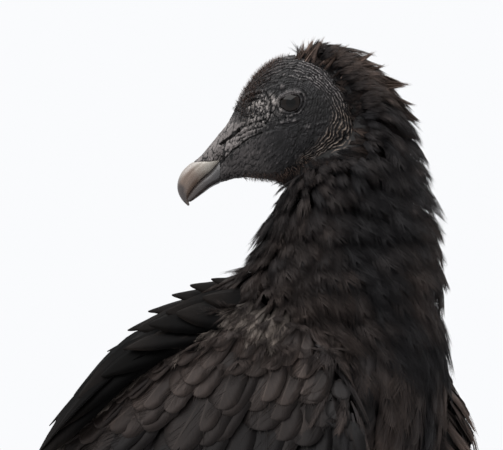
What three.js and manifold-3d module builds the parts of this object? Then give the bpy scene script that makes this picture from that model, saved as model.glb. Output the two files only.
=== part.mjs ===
// A life-size American black vulture standing at rest, its head turned back over the right shoulder.
// Millimetres, +Z up. The bird faces -Y, its left side is +X, and the soles stand on Z = 0.
import * as THREE from "three";
import Module from "manifold-3d";
import { LoftGeometry } from "three/addons/geometries/LoftGeometry.js";
import { mergeVertices } from "three/addons/utils/BufferGeometryUtils.js";

const wasm = await Module();
wasm.setup();

// Driving dimensions.
const FIT_GAP = 0.3; // clear space kept between neighbouring pieces
const HEAD_TURN = 152; // degrees that the head looks to the right of straight ahead
const BILL_DROOP = 24; // degrees that the head's long axis points below level
const EYE_HEIGHT = 435.4; // pupil above the soles
const EYE_RADIUS = 9.5; // whole eyeball
const EYE_OFFSET = 14.4; // eyeball centre from the middle of the skull
const HORN_SLOPE = 22; // degrees that the edge of the bill's horn rises against the head's axis
const STANCE = 45; // foot from the middle plane
const SCAPULARS = 6; // feathers of the shoulder tract on each side
const FLIGHT_FEATHERS = 6; // long wing feathers that show behind each folded wing
const TAIL_FEATHERS = 12;

const LEFT = 1;
const RIGHT = -1;
const SIDES = { left: LEFT, right: RIGHT };

// ---- shape helpers ----

const X_AXIS = new THREE.Vector3(1, 0, 0);
const Y_AXIS = new THREE.Vector3(0, 1, 0);
const Z_AXIS = new THREE.Vector3(0, 0, 1);

function radians(degrees) {
  return THREE.MathUtils.degToRad(degrees);
}

function sharpened(value, squareness) {
  return Math.sign(value) * Math.abs(value) ** (2 / squareness);
}

// A closed body lofted along a spine. A station is [x, y, z, half width, half height, roll].
// Widths run along `side`; `facing` fixes the plane of every section, which otherwise follows the spine.
// `grow` makes the body that much fatter all round, for cutting its place into a neighbour.
function loft(stations, shape) {
  const { side = X_AXIS, facing = null, around = 16, steps = 14, squareness = 2, grow = 0 } = shape;
  const centres = stations.map(([x, y, z]) => new THREE.Vector3(x, y, z));
  const sizes = stations.map(([, , , wide, high, roll = 0]) => new THREE.Vector3(wide, high, roll));
  const spine = new THREE.CatmullRomCurve3(centres);
  const size = new THREE.CatmullRomCurve3(sizes);
  const sections = [];
  for (let step = 0; step <= steps; step += 1) {
    const along = step / steps;
    const tangent = facing ? facing.clone() : spine.getTangent(along);
    const centre = spine.getPoint(along);
    const { x: wide, y: high, z: roll } = size.getPoint(along);
    if (step === 0) centre.addScaledVector(tangent, -grow);
    if (step === steps) centre.addScaledVector(tangent, grow);
    const across = side.clone().addScaledVector(tangent, -side.dot(tangent)).normalize();
    across.applyAxisAngle(tangent, radians(roll));
    const upright = tangent.clone().cross(across);
    const section = [];
    for (let turn = 0; turn < around; turn += 1) {
      const angle = ((turn + 0.5) / around) * 2 * Math.PI;
      const point = centre.clone();
      point.addScaledVector(across, (wide + grow) * sharpened(Math.cos(angle), squareness));
      point.addScaledVector(upright, (high + grow) * sharpened(Math.sin(angle), squareness));
      section.push(point);
    }
    sections.push(section);
  }
  return new LoftGeometry(sections, { capStart: true, capEnd: true });
}

// One feather vane from root to tip: a flat blade, narrow at the quill, full over its middle, rounded
// at the end. `back` is the direction its upper face looks; `bow` lifts the middle that way.
function feather(root, tip, back, { width, thick, bow }) {
  const line = tip.clone().sub(root);
  const side = line.clone().cross(back).normalize();
  const outline = [
    [0, 0.35, 1],
    [0.4, 1, 1],
    [0.8, 0.95, 0.8],
    [0.95, 0.6, 0.6],
    [1, 0.2, 0.5],
  ];
  const stations = outline.map(([along, wide, high]) => {
    const centre = root.clone().addScaledVector(line, along);
    centre.addScaledVector(back, bow * Math.sin(Math.PI * along));
    return [...centre.toArray(), (wide * width) / Math.SQRT2, (high * thick) / Math.SQRT2];
  });
  return loft(stations, { side, around: 4, steps: 4 });
}

// ---- joining and cutting ----

function toSolid(geometry) {
  const bare = new THREE.BufferGeometry();
  bare.setAttribute("position", geometry.getAttribute("position"));
  bare.setIndex(geometry.getIndex());
  const merged = mergeVertices(bare, 1e-4);
  return new wasm.Manifold(
    new wasm.Mesh({
      numProp: 3,
      vertProperties: new Float32Array(merged.attributes.position.array),
      triVerts: new Uint32Array(merged.index.array),
    }),
  );
}

function toGeometry(solid) {
  const mesh = solid.getMesh();
  const geometry = new THREE.BufferGeometry();
  geometry.setAttribute("position", new THREE.BufferAttribute(mesh.vertProperties, 3));
  geometry.setIndex(new THREE.BufferAttribute(mesh.triVerts, 1));
  geometry.computeVertexNormals();
  return geometry;
}

function joined(geometries) {
  return geometries.map(toSolid).reduce((whole, piece) => whole.add(piece));
}

function without(solid, cutters) {
  return cutters.reduce((rest, cutter) => rest.subtract(toSolid(cutter)), solid);
}

// ---- finishes ----

const finishes = {
  plumage: new THREE.MeshStandardMaterial({ color: 0x2c2a29, roughness: 0.75 }),
  wingFeathers: new THREE.MeshStandardMaterial({ color: 0x332e2d, roughness: 0.65 }),
  bareSkin: new THREE.MeshStandardMaterial({ color: 0x45413e, roughness: 0.7 }),
  horn: new THREE.MeshStandardMaterial({ color: 0x8a7a6b, roughness: 0.45 }),
  darkHorn: new THREE.MeshStandardMaterial({ color: 0x3b3836, roughness: 0.5 }),
  eyeball: new THREE.MeshStandardMaterial({ color: 0x17110e, roughness: 0.08 }),
  legScales: new THREE.MeshStandardMaterial({ color: 0x9b968f, roughness: 0.75 }),
  claw: new THREE.MeshStandardMaterial({ color: 0x2b2725, roughness: 0.4 }),
};

const bird = new THREE.Group();
const placed = new THREE.Group();
bird.add(placed);

function addNode(parent, name, geometry, finish) {
  const mesh = new THREE.Mesh(geometry, finish);
  mesh.name = name;
  parent.add(mesh);
}

// ---- trunk ----

// Stations from breast to tail base: [y, top, bottom, half width].
const TRUNK_OUTLINE = [
  [-62, 286, 277, 2],
  [-56, 315, 226, 31],
  [-42, 330, 195, 50],
  [-17, 341, 164, 63],
  [15, 347, 141, 70],
  [50, 341, 128, 72],
  [90, 320, 119, 71],
  [130, 288, 114, 67],
  [170, 250, 113, 57],
  [205, 216, 118, 45],
  [235, 190, 127, 33],
  [258, 171, 137, 18],
  [267, 158, 150, 3],
];

function upright(outline) {
  return outline.map(([y, top, bottom, wide]) => [0, y, (top + bottom) / 2, wide, (top - bottom) / 2]);
}

function trunkShape(grow = 0) {
  return loft(upright(TRUNK_OUTLINE), { facing: Y_AXIS, around: 18, steps: 13, squareness: 2.15, grow });
}

// ---- neck ----

// The feathered column stands on the front of the back. Its sections are level, wider along the turned
// head than across it. Stations: [height, shift towards the nape, half length, half breadth].
const NECK_OUTLINE = [
  [268, -6, 4, 4],
  [282, -6, 44, 42],
  [300, -6, 63, 57],
  [316, -5, 67, 60],
  [327, -3, 64, 57],
  [342, 2, 58, 52],
  [357, 4, 54, 48],
  [372, 4, 50, 44],
  [387, 6, 46, 40],
  [401, 10, 38, 35],
  [411, 18, 27, 30],
  [421, 19.5, 21.5, 26],
  [431, 17.5, 18.5, 24],
  [441, 14.5, 18, 22],
  [451, 8, 17.5, 20],
  [461, -1, 18, 17],
  [467, -8, 18, 13],
  [472, -13, 14, 9],
  [476, -15, 3, 3],
];

// Level direction that the bill points, and the way from bill to nape.
const BILL_WAY = new THREE.Vector3(0, -1, 0).applyAxisAngle(Z_AXIS, -radians(HEAD_TURN));
const NAPE_WAY = BILL_WAY.clone().negate();

function neckShape(grow = 0) {
  const stations = NECK_OUTLINE.map(([height, shift, long, broad]) => {
    return [NAPE_WAY.x * shift, NAPE_WAY.y * shift, height, long, broad];
  });
  return loft(stations, { side: NAPE_WAY, facing: Z_AXIS, around: 16, steps: 16, grow });
}

// ---- head, in its own frame: +X along the bill, +Y the bird's left cheek, +Z the crown, 0 at the pupils ----

const headFrame = new THREE.Group();
const EYE_AHEAD = 33.8; // pupils ahead of the neck's foot, along the bill
headFrame.position.copy(BILL_WAY).multiplyScalar(EYE_AHEAD);
headFrame.position.z = EYE_HEIGHT;
headFrame.rotation.set(0, radians(BILL_DROOP), Math.atan2(BILL_WAY.y, BILL_WAY.x), "ZYX");
placed.add(headFrame);

// Skull, face and jaw with the bare skin: [x, top, bottom, half width].
const FACE_OUTLINE = [
  [-35, -5, -17, 3],
  [-32, 7, -29, 12],
  [-26, 17, -37, 17.5],
  [-18, 24.5, -40, 20.5],
  [-8, 28, -41, 22],
  [2, 28, -42, 22],
  [12, 25, -44, 21],
  [20, 20.5, -43.5, 19],
  [26, 16, -41, 17.3],
  [32, 11.5, -37.5, 15.4],
  [38, 6.6, -33.8, 13.4],
  [44, 2.6, -30.6, 11.6],
  [50, -0.5, -28.6, 10.2],
  [53, -9, -22, 5],
];

// Upper bill from the forehead over the culmen to the hook: [x, z, half width, half height].
const UPPER_BILL = [
  [33, -1.5, 11, 8.5],
  [40.2, -3.4, 10.4, 7.6],
  [50.9, -7.6, 8.7, 6.6],
  [62.2, -12.4, 7.4, 6],
  [69.1, -14.2, 6.8, 5.9],
  [75.5, -16.6, 6.1, 6],
  [79.8, -19.6, 5.1, 5.2],
  [82.5, -23.2, 3.8, 3.8],
  [83.8, -27.4, 2.3, 1.9],
  [83.4, -32.2, 0.5, 0.4],
];

// Lower bill from the jaw to its spoon-shaped tip.
const LOWER_BILL = [
  [37.7, -20.2, 11, 11.5],
  [45.7, -20, 10, 10],
  [53.1, -20.8, 8.8, 8],
  [62.2, -22.6, 7, 4.8],
  [67.4, -23.6, 6.2, 4],
  [72.8, -25.2, 5, 3.4],
  [78.4, -27.8, 3.2, 1.9],
  [81.6, -29.3, 0.8, 0.6],
];

function billStations(outline) {
  return outline.map(([x, z, wide, high]) => [x, 0, z, wide, high]);
}

function upperBillShape(grow = 0) {
  return loft(billStations(UPPER_BILL), { side: Y_AXIS, around: 12, steps: 12, squareness: 2.2, grow });
}

function lowerBillShape(grow = 0) {
  return loft(billStations(LOWER_BILL), { side: Y_AXIS, around: 10, steps: 8, grow });
}

function faceShape(grow = 0) {
  const stations = FACE_OUTLINE.map(([x, top, bottom, wide]) => {
    return [x, 0, (top + bottom) / 2, wide, (top - bottom) / 2];
  });
  return loft(stations, { side: Y_AXIS, facing: X_AXIS, around: 16, steps: 13, grow });
}

// The block of space that holds the bill's horn: ahead of and below a sloping edge.
function hornZone(grow = 0) {
  const size = 60;
  const zone = new THREE.BoxGeometry(size + 2 * grow, size, size + 2 * grow);
  zone.translate(size / 2, 0, -size / 2);
  zone.rotateY(-radians(HORN_SLOPE));
  zone.translate(54.6, 0, -14.8);
  return zone;
}

function eyeShape(side, grow = 0) {
  const eye = new THREE.SphereGeometry(EYE_RADIUS + grow, 12, 8);
  eye.translate(0, side * EYE_OFFSET, 0);
  return eye;
}

const faceSolid = joined([faceShape(), upperBillShape(), lowerBillShape()]);
const sockets = Object.values(SIDES).map((side) => eyeShape(side, FIT_GAP));
const headSolid = without(faceSolid, [hornZone(FIT_GAP / 2), ...sockets]);
const hornCutter = toSolid(hornZone(-FIT_GAP / 2));
const upperHorn = toSolid(upperBillShape()).intersect(hornCutter);
const lowerHorn = without(toSolid(lowerBillShape()).intersect(hornCutter), [upperBillShape(FIT_GAP)]);

addNode(headFrame, "head", toGeometry(headSolid), finishes.bareSkin);
addNode(headFrame, "bill_upper", toGeometry(upperHorn), finishes.horn);
addNode(headFrame, "bill_lower", toGeometry(lowerHorn), finishes.darkHorn);
for (const [name, side] of Object.entries(SIDES)) {
  addNode(headFrame, `eye_${name}`, eyeShape(side), finishes.eyeball);
}

// ---- wings ----

// Folded arm with its coverts, left wing: [y, top, bottom, x, half thickness, lean of the top inwards].
const WING_OUTLINE = [
  [-50, 214, 206, 76, 2, 8],
  [-44, 250, 186, 75, 11, 9],
  [-28, 282, 168, 71, 17, 9],
  [-4, 305, 152, 68, 20, 9],
  [32, 317, 138, 68, 22, 9],
  [70, 304, 127, 68, 22, 10],
  [110, 279, 117, 65, 21, 11],
  [150, 249, 111, 59, 19, 12],
  [190, 219, 107, 51, 16, 13],
  [225, 190, 107, 42, 12, 14],
  [255, 161, 112, 35, 7, 14],
  [268, 142, 120, 32, 2, 12],
];

function wingShape(side, grow = 0) {
  const stations = WING_OUTLINE.map(([y, top, bottom, x, thick, lean]) => {
    return [side * x, y, (top + bottom) / 2, thick, (top - bottom) / 2, -side * lean];
  });
  return loft(stations, { facing: Y_AXIS, around: 12, steps: 11, squareness: 2.4, grow });
}

// Ridge of shoulder feathers that covers the seam between back and wing, left side:
// [y, z, x, half width, half thickness, slope of its outer half].
const SHOULDER_RIDGE = [
  [12, 320, 42, 4, 3, 34],
  [20, 320, 43, 23, 10, 34],
  [60, 313, 47, 29, 14, 36],
  [100, 293, 49, 29, 15, 38],
  [140, 264, 49, 25, 15, 40],
  [166, 238, 47, 16, 11, 40],
  [180, 222, 46, 4, 3, 38],
];

// Height of the line that the tips of its feathers draw along the back.
function shoulderLine(y) {
  return 327 - 0.0055 * Math.max(0, y - 53) ** 2;
}

// Its feathers shingle backwards; their tips stand off the back one behind another.
function shoulderFeathers(side) {
  const back = new THREE.Vector3(side * 0.45, 0.5, 0.74).normalize();
  const feathers = [];
  for (let count = 0; count < SCAPULARS; count += 1) {
    const tipY = 62 + (122 / (SCAPULARS - 1)) * count;
    const rootY = Math.max(18, tipY - 62 - 4 * count);
    const x = count % 2 === 0 ? 55 : 46;
    const tip = new THREE.Vector3(side * x, tipY, shoulderLine(tipY));
    const root = new THREE.Vector3(side * (x - 6), rootY, shoulderLine(rootY) - 6);
    feathers.push(feather(root, tip, back, { width: 26, thick: 3.6, bow: 3 + 0.6 * count }));
  }
  return feathers;
}

function shoulderShape(side) {
  const stations = SHOULDER_RIDGE.map(([y, z, x, wide, thick, slope]) => {
    return [side * x, y, z, wide, thick, side * slope];
  });
  return joined([loft(stations, { facing: Y_AXIS, around: 8, steps: 7 }), ...shoulderFeathers(side)]);
}

// Long wing feathers lie like a closed fan: the longest lowest, each next one shorter, higher and over it.
function flightFeathers(side) {
  const back = new THREE.Vector3(side * 0.85, 0.2, 0.48).normalize();
  const longest = {
    root: new THREE.Vector3(side * 55, 204, 136),
    tip: new THREE.Vector3(side * 26, 336, 117),
  };
  const line = longest.tip.clone().sub(longest.root).normalize();
  const across = line.clone().cross(back).normalize();
  if (across.z < 0) across.negate();
  const feathers = [];
  for (let count = 0; count < FLIGHT_FEATHERS; count += 1) {
    const step = across.clone().multiplyScalar(8.4 * count).addScaledVector(back, count);
    const root = longest.root.clone().add(step);
    const tip = longest.tip.clone().add(step).addScaledVector(line, -15 * count);
    feathers.push(feather(root, tip, back, { width: 30, thick: 2.4, bow: 3 }));
  }
  return feathers;
}

// ---- tail ----

function tailFeathers() {
  const feathers = [];
  const half = TAIL_FEATHERS / 2;
  for (let count = 0; count < TAIL_FEATHERS; count += 1) {
    const side = count < half ? LEFT : RIGHT;
    const out = count % half;
    const tip = new THREE.Vector3(side * (5.5 + 7.4 * out), 350 - 0.5 * out ** 2, 84 - 1.1 * out);
    const root = new THREE.Vector3(side * (2 + 1.6 * out), 236, 147 - 0.9 * out);
    const back = new THREE.Vector3(side * 0.03 * out, 0.5, 0.86).normalize();
    feathers.push(feather(root, tip, back, { width: 22, thick: 2, bow: 2 }));
  }
  return feathers;
}

// ---- legs ----

// Feathered thigh, left: [x, y, z, half width, half depth].
const THIGH = [
  [42, 62, 206, 8, 8],
  [43, 70, 186, 26, 38],
  [44, 84, 152, 27, 38],
  [45, 98, 124, 20, 27],
  [45, 109, 104, 12.5, 16],
  [45, 116, 90, 9, 10],
  [45, 117.5, 84, 6, 6.5],
];

// Bare scaled shank with the ball of the foot, left.
const SHANK = [
  [0, 118, 91, 3, 3],
  [0, 118, 86, 6, 6.5],
  [0, 117.5, 78, 7.2, 8],
  [0, 115, 66, 5.6, 6.8],
  [0.3, 110, 46, 4.9, 6],
  [0.6, 105, 28, 5.2, 6.4],
  [1, 101, 15, 7.6, 8],
  [1, 98, 6, 9.5, 9],
  [1, 97.4, -1.5, 7.5, 7],
];

// Toes: direction off straight ahead (outwards positive), length, half thickness, claw length.
const TOES = {
  middle: { heading: 4, length: 68, thick: 5.3, claw: 15 },
  inner: { heading: -27, length: 43, thick: 4.9, claw: 15 },
  outer: { heading: 33, length: 49, thick: 4.8, claw: 13 },
  hind: { heading: 192, length: 27, thick: 4.3, claw: 11 },
};
const BALL_OF_FOOT = 98; // y of the joint that the toes leave from

function thighShape(side) {
  const stations = THIGH.map(([x, ...rest]) => [side * x, ...rest]);
  return loft(stations, { around: 10, steps: 5 });
}

function shankShape(side, grow = 0) {
  const stations = SHANK.map(([out, ...rest]) => [side * (STANCE + out), ...rest]);
  return loft(stations, { around: 8, steps: 9, grow });
}

// A point on a toe's line: distance from the ball of the foot, height above the sole.
function onToe(side, heading, distance, height) {
  const angle = radians(heading);
  return [
    side * (STANCE + 1 + Math.sin(angle) * distance),
    BALL_OF_FOOT - Math.cos(angle) * distance,
    height,
  ];
}

function acrossToe(side, heading) {
  const angle = radians(heading);
  return new THREE.Vector3(side * Math.cos(angle), Math.sin(angle), 0);
}

// A toe swells at its joints and rests on pads that the floor flattens.
function toeShape(side, { heading, length, thick }, grow = 0) {
  const outline = [
    [0.04, 7.5, 0.7],
    [0.22, 6.4, 1.02],
    [0.4, 5.2, 0.9],
    [0.52, 4.9, 1.06],
    [0.66, 4.8, 0.86],
    [0.8, 4.6, 1],
    [0.93, 4.8, 0.86],
    [1, 5.2, 0.5],
  ];
  const stations = outline.map(([along, height, size]) => {
    return [...onToe(side, heading, along * length, height), size * thick, size * thick];
  });
  return loft(stations, { side: acrossToe(side, heading), around: 7, steps: 6, grow });
}

// A blunt claw curves down ahead of its toe and clears the floor.
function clawShape(side, { heading, length, thick, claw }) {
  const outline = [
    [0.03, 5.6, 0.4, 0.46],
    [0.14, 6.1, 0.5, 0.58],
    [0.4, 6.4, 0.42, 0.5],
    [0.72, 4.9, 0.3, 0.36],
    [0.94, 2.4, 0.16, 0.18],
    [1, 1.3, 0.07, 0.07],
  ];
  const stations = outline.map(([along, height, wide, high]) => {
    return [...onToe(side, heading, length + along * claw, height), wide * thick, high * thick];
  });
  return loft(stations, { side: acrossToe(side, heading), around: 5, steps: 4 });
}

// Everything under the soles is cut away, which leaves the small flats that the bird stands on.
const floor = new THREE.BoxGeometry(400, 400, 40);
floor.translate(0, BALL_OF_FOOT, -20);

function addLeg(name, side) {
  const [middle, ...others] = Object.entries(TOES);
  const shank = without(toSolid(shankShape(side)), [floor]);
  const thigh = without(toSolid(thighShape(side)), [
    trunkShape(FIT_GAP),
    wingShape(side, FIT_GAP),
    shankShape(side, FIT_GAP),
  ]);
  addNode(placed, `thigh_${name}`, toGeometry(thigh), finishes.plumage);
  addNode(placed, `shank_${name}`, toGeometry(shank), finishes.legScales);
  for (const [toeName, toe] of [middle, ...others]) {
    const cutters = [floor, shankShape(side, FIT_GAP)];
    if (toeName !== middle[0]) cutters.push(toeShape(side, middle[1], FIT_GAP));
    const toeSolid = without(toSolid(toeShape(side, toe)), cutters);
    addNode(placed, `toe_${toeName}_${name}`, toGeometry(toeSolid), finishes.legScales);
    addNode(placed, `claw_${toeName}_${name}`, clawShape(side, toe), finishes.claw);
  }
}

// ---- assembly ----

headFrame.updateMatrixWorld(true);
const headCutters = [faceShape(FIT_GAP), lowerBillShape(FIT_GAP)].map((shape) => {
  return shape.applyMatrix4(headFrame.matrixWorld);
});
const neckSolid = without(toSolid(neckShape()), [trunkShape(FIT_GAP), ...headCutters]);

addNode(placed, "trunk", trunkShape(), finishes.plumage);
addNode(placed, "neck", toGeometry(neckSolid), finishes.plumage);

const tailSolid = without(joined(tailFeathers()), [
  trunkShape(FIT_GAP),
  wingShape(LEFT, FIT_GAP),
  wingShape(RIGHT, FIT_GAP),
]);
addNode(placed, "tail", toGeometry(tailSolid), finishes.wingFeathers);

for (const [name, side] of Object.entries(SIDES)) {
  const bodyCutters = [trunkShape(FIT_GAP), neckShape(FIT_GAP)];
  const wing = without(toSolid(wingShape(side)), bodyCutters);
  const shoulder = without(shoulderShape(side), [...bodyCutters, wingShape(side, FIT_GAP)]);
  const flight = without(joined(flightFeathers(side)), [trunkShape(FIT_GAP), wingShape(side, FIT_GAP)]);
  addNode(placed, `wing_${name}`, toGeometry(wing), finishes.wingFeathers);
  addNode(placed, `scapulars_${name}`, toGeometry(shoulder), finishes.plumage);
  addNode(placed, `flight_feathers_${name}`, toGeometry(flight), finishes.wingFeathers);
  addLeg(name, side);
}

// The origin lies on the floor under the middle of the whole bird.
bird.updateMatrixWorld(true);
const extent = new THREE.Box3().setFromObject(bird, true);
const middle = extent.getCenter(new THREE.Vector3());
placed.position.set(-middle.x, -middle.y, -extent.min.z);

export default bird;
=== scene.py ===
"""A life-size black vulture as a still model: skin, bill, eyes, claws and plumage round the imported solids."""
import math

import bpy
import numpy as np
from bpy.props import FloatProperty, FloatVectorProperty, IntProperty, PointerProperty
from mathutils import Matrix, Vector
from mathutils.bvhtree import BVHTree
from mathutils.kdtree import KDTree


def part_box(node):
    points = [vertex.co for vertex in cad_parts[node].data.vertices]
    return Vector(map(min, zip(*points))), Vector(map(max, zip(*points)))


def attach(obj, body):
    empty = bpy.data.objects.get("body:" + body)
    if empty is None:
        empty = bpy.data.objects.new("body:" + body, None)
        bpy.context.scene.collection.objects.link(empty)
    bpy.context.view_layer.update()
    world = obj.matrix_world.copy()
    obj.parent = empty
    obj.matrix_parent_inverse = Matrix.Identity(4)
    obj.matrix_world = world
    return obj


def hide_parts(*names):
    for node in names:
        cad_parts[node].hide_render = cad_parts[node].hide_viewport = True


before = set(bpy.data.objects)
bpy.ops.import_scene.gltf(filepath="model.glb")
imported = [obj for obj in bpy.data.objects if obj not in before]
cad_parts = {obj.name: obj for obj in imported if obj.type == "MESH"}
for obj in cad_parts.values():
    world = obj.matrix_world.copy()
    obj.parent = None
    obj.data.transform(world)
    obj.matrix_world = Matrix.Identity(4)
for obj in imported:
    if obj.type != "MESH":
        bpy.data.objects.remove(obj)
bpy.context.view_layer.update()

bl_info = {
    "name": "Black vulture",
    "version": (1, 0, 0),
    "blender": (4, 5, 0),
    "location": "3D View > Sidebar > Vulture",
    "description": "Skin, bill, eyes, claws and plumage of a standing black vulture",
    "category": "Object",
}

BODY = "root"
MM = 0.001
SIDES = {"left": 1, "right": -1}

# ---- the bird's own frame, in millimetres: origin over the feet's centreline, +Y tail, +X left, +Z up ----

TRUNK_FRONT = -62.0  # y of the foremost point of the breast
HOME = np.array([0.0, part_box("trunk")[0].y / MM - TRUNK_FRONT, 0.0])
HEAD_TURN = math.radians(152)  # that the head looks to the right of straight ahead
BILL_DROOP = math.radians(24)
BILL_WAY = np.array([-math.sin(HEAD_TURN), -math.cos(HEAD_TURN), 0.0])
NAPE_WAY = -BILL_WAY
UP = np.array([0.0, 0.0, 1.0])


def unit(v):
    v = np.asarray(v, float)
    return v / np.maximum(np.linalg.norm(v, axis=-1, keepdims=True), 1e-12)


def eye_centre(side):
    low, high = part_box(f"eye_{side}")
    return np.array((low + high) / 2) / MM - HOME


HEAD_PLACE = (eye_centre("left") + eye_centre("right")) / 2
EYE_APART = np.linalg.norm(eye_centre("left") - eye_centre("right")) / 2
_ahead = BILL_WAY * math.cos(BILL_DROOP) - UP * math.sin(BILL_DROOP)
_cheek = np.cross(UP, BILL_WAY)
# Columns: along the bill, towards the left cheek, towards the crown.
HEAD_AXES = np.stack([_ahead, _cheek, np.cross(_ahead, _cheek)], axis=1)


def to_head(points):
    return (points - HEAD_PLACE) @ HEAD_AXES


def from_head(points):
    return points @ HEAD_AXES.T + HEAD_PLACE


# ---- sizes and colours that a user would change ----


def linear(hex_colour):
    """An sRGB hex colour such as "#2a2827" as linear red, green, blue."""
    channels = [int(hex_colour[i : i + 2], 16) / 255 for i in (1, 3, 5)]
    return tuple(c / 12.92 if c <= 0.04045 else ((c + 0.055) / 1.055) ** 2.4 for c in channels)


def colour_prop(name, text, default):
    return FloatVectorProperty(
        name=name, description=text, subtype="COLOR", size=3, min=0, max=1, default=linear(default)
    )


def length_prop(name, text, default, low=0.0, high=400.0):
    """A length in millimetres."""
    return FloatProperty(name=name, description=text, default=default, min=low, max=high)


class VultureSkinSettings(bpy.types.PropertyGroup):
    head_grain: length_prop("Head grain", "Size of the head mesh's squares, mm", 0.33, 0.3, 3)
    body_grain: length_prop("Body grain", "Size of the body mesh's squares, mm", 4.4, 2, 8)
    leg_grain: length_prop("Leg grain", "Size of the leg mesh's squares, mm", 1.5, 0.6, 3)
    fold_height: length_prop("Fold height", "Height of the folds behind the head's bare face, mm", 0.75, 0, 2)
    colour: colour_prop("Bare skin", "Smooth bare skin of the cheek and ear", "#1c1b1c")
    ridge_colour: colour_prop("Fold crests", "Dry crests of the folds", "#666160")
    cere_colour: colour_prop("Cere", "Leathery skin at the root of the bill", "#77716f")
    leg_colour: colour_prop("Legs", "Whitened scales of shank and toes", "#8f8a83")


class VultureBillSettings(bpy.types.PropertyGroup):
    pale: colour_prop("Pale horn", "Horn near its edge", "#928d84")
    warm: colour_prop("Warm horn", "Horn towards the hook", "#5e4f45")
    dark: colour_prop("Dark horn", "Hook's point and the lower bill", "#302927")


class VulturePlumageSettings(bpy.types.PropertyGroup):
    black: colour_prop("Fresh feather", "Fresh black-brown vane", "#1b1a1b")
    faded: colour_prop("Faded feather", "Sun-faded vane", "#52453e")
    wing_brown: colour_prop("Faded covert", "Sun-bleached wing covert", "#39302c")
    seed: IntProperty(name="Seed", description="Start of every random draw", default=7, min=0)
    neck_spacing: length_prop("Neck spacing", "Distance between neck feathers, mm", 6.9, 2, 20)
    body_spacing: length_prop("Body spacing", "Distance between body feathers, mm", 12.0, 4, 30)
    bristle_spacing: length_prop("Bristle spacing", "Distance between the head's bristles, mm", 0.55, 0.2, 5)
    neck_barbs: IntProperty(name="Neck barbs", description="Loose barbs of a neck feather", default=68, min=2)
    body_barbs: IntProperty(name="Body barbs", description="Loose barbs of a body feather", default=46, min=2)


class VultureStageSettings(bpy.types.PropertyGroup):
    backdrop: colour_prop("Backdrop", "Pale surroundings", "#fafbfd")
    floor: colour_prop("Floor", "Plain pale floor", "#a9a9ab")
    floor_radius: FloatProperty(
        name="Floor radius", description="Half the floor's width", default=3.0, min=0.5, max=10, unit="LENGTH"
    )


# ---- curves, noise and arrays ----


def held(values):
    """Values cut off below 0 and above 1."""
    return np.clip(values, 0, 1)


def ease(value, start, end):
    """Smooth step from 0 at start to 1 at end."""
    t = held((np.asarray(value, float) - start) / (end - start))
    return t * t * (3 - 2 * t)


def spline(a, b, c, d, f):
    """Catmull-Rom curve between b and c at shares f."""
    return 0.5 * (2 * b + (c - a) * f + (2 * a - 5 * b + 4 * c - d) * f**2 + (3 * b - a - 3 * c + d) * f**3)


def through(rows, steps):
    """A smooth curve through rows, sampled at steps + 1 even stations."""
    rows = np.asarray(rows, float)
    ends = np.vstack([2 * rows[0] - rows[1], rows, 2 * rows[-1] - rows[-2]])
    at = np.linspace(0, len(rows) - 1, steps + 1)
    i = np.minimum(at.astype(int), len(rows) - 2)
    return spline(*(ends[i + k] for k in range(4)), (at - i)[:, None])


def along_paths(paths, t):
    """Points at shares t (rows by stations) of each path (rows by points by 3)."""
    last = paths.shape[1] - 1
    at = held(t) * last
    i = np.minimum(at.astype(int), last - 1)
    f = (at - i)[..., None]
    rows = np.arange(len(paths))[:, None]
    four = (paths[rows, np.clip(i + k, 0, last)] for k in (-1, 0, 1, 2))
    point = spline(*four, f)
    over = np.maximum(t - 1, 0)[..., None] * last
    return point + over * (paths[:, -1:] - paths[:, -2:-1])


def _hash(x, y, z, seed):
    """A number from -1 to 1 that looks random and is always the same for one lattice corner and seed."""
    h = (x * 374761393 + y * 668265263 + z * 2147483629 + seed * 144665) & 0xFFFFFFFF
    h = ((h ^ (h >> 13)) * 1274126177) & 0xFFFFFFFF
    return ((h ^ (h >> 16)) & 0xFFFF) / 32767.5 - 1


def noise(points, size, seed=0):
    """Smooth noise from -1 to 1, with bumps about size across. Each seed gives another field."""
    p = np.asarray(points, float) / size
    cell = np.floor(p).astype(np.int64)
    f = p - cell
    f = f * f * (3 - 2 * f)
    total = np.zeros(len(p))
    for step in np.ndindex(2, 2, 2):
        total += _hash(*(cell + step).T, seed) * np.abs(1 - np.array(step) - f).prod(1)
    return total


def drift(points, size, seed, ways=2):
    """Noise of several fields side by side, which shifts points in as many directions."""
    return np.stack([noise(points, size, seed + k) for k in range(ways)], -1)


def hump(gap, half):
    """A rounded rise, 1 where gap is 0, that is about half wide on each side."""
    return np.exp(-((gap / half) ** 2))


def line_distance(points, line):
    """Distance of 2-D points from a broken line, and the share of the line reached."""
    line = np.asarray(line, float)
    best = np.full(len(points), 1e9)
    share = np.zeros(len(points))
    spans = np.linalg.norm(np.diff(line, axis=0), axis=1)
    done = 0.0
    for a, b, span in zip(line[:-1], line[1:], spans):
        t = held(((points - a) @ (b - a)) / span**2)
        gap = np.linalg.norm(points - a - t[:, None] * (b - a), axis=1)
        nearer = gap < best
        best[nearer] = gap[nearer]
        share[nearer] = (done + t[nearer] * span) / spans.sum()
        done += span
    return best, share


# ---- meshes from arrays ----


def read(items, field, width=1, kind=np.float32):
    """One field of every item, width numbers to a row."""
    values = np.empty(len(items) * width, kind)
    items.foreach_get(field, values)
    return values.reshape(-1, width)


def write(items, field, values):
    items.foreach_set(field, np.asarray(values, np.float32).ravel())


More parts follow.
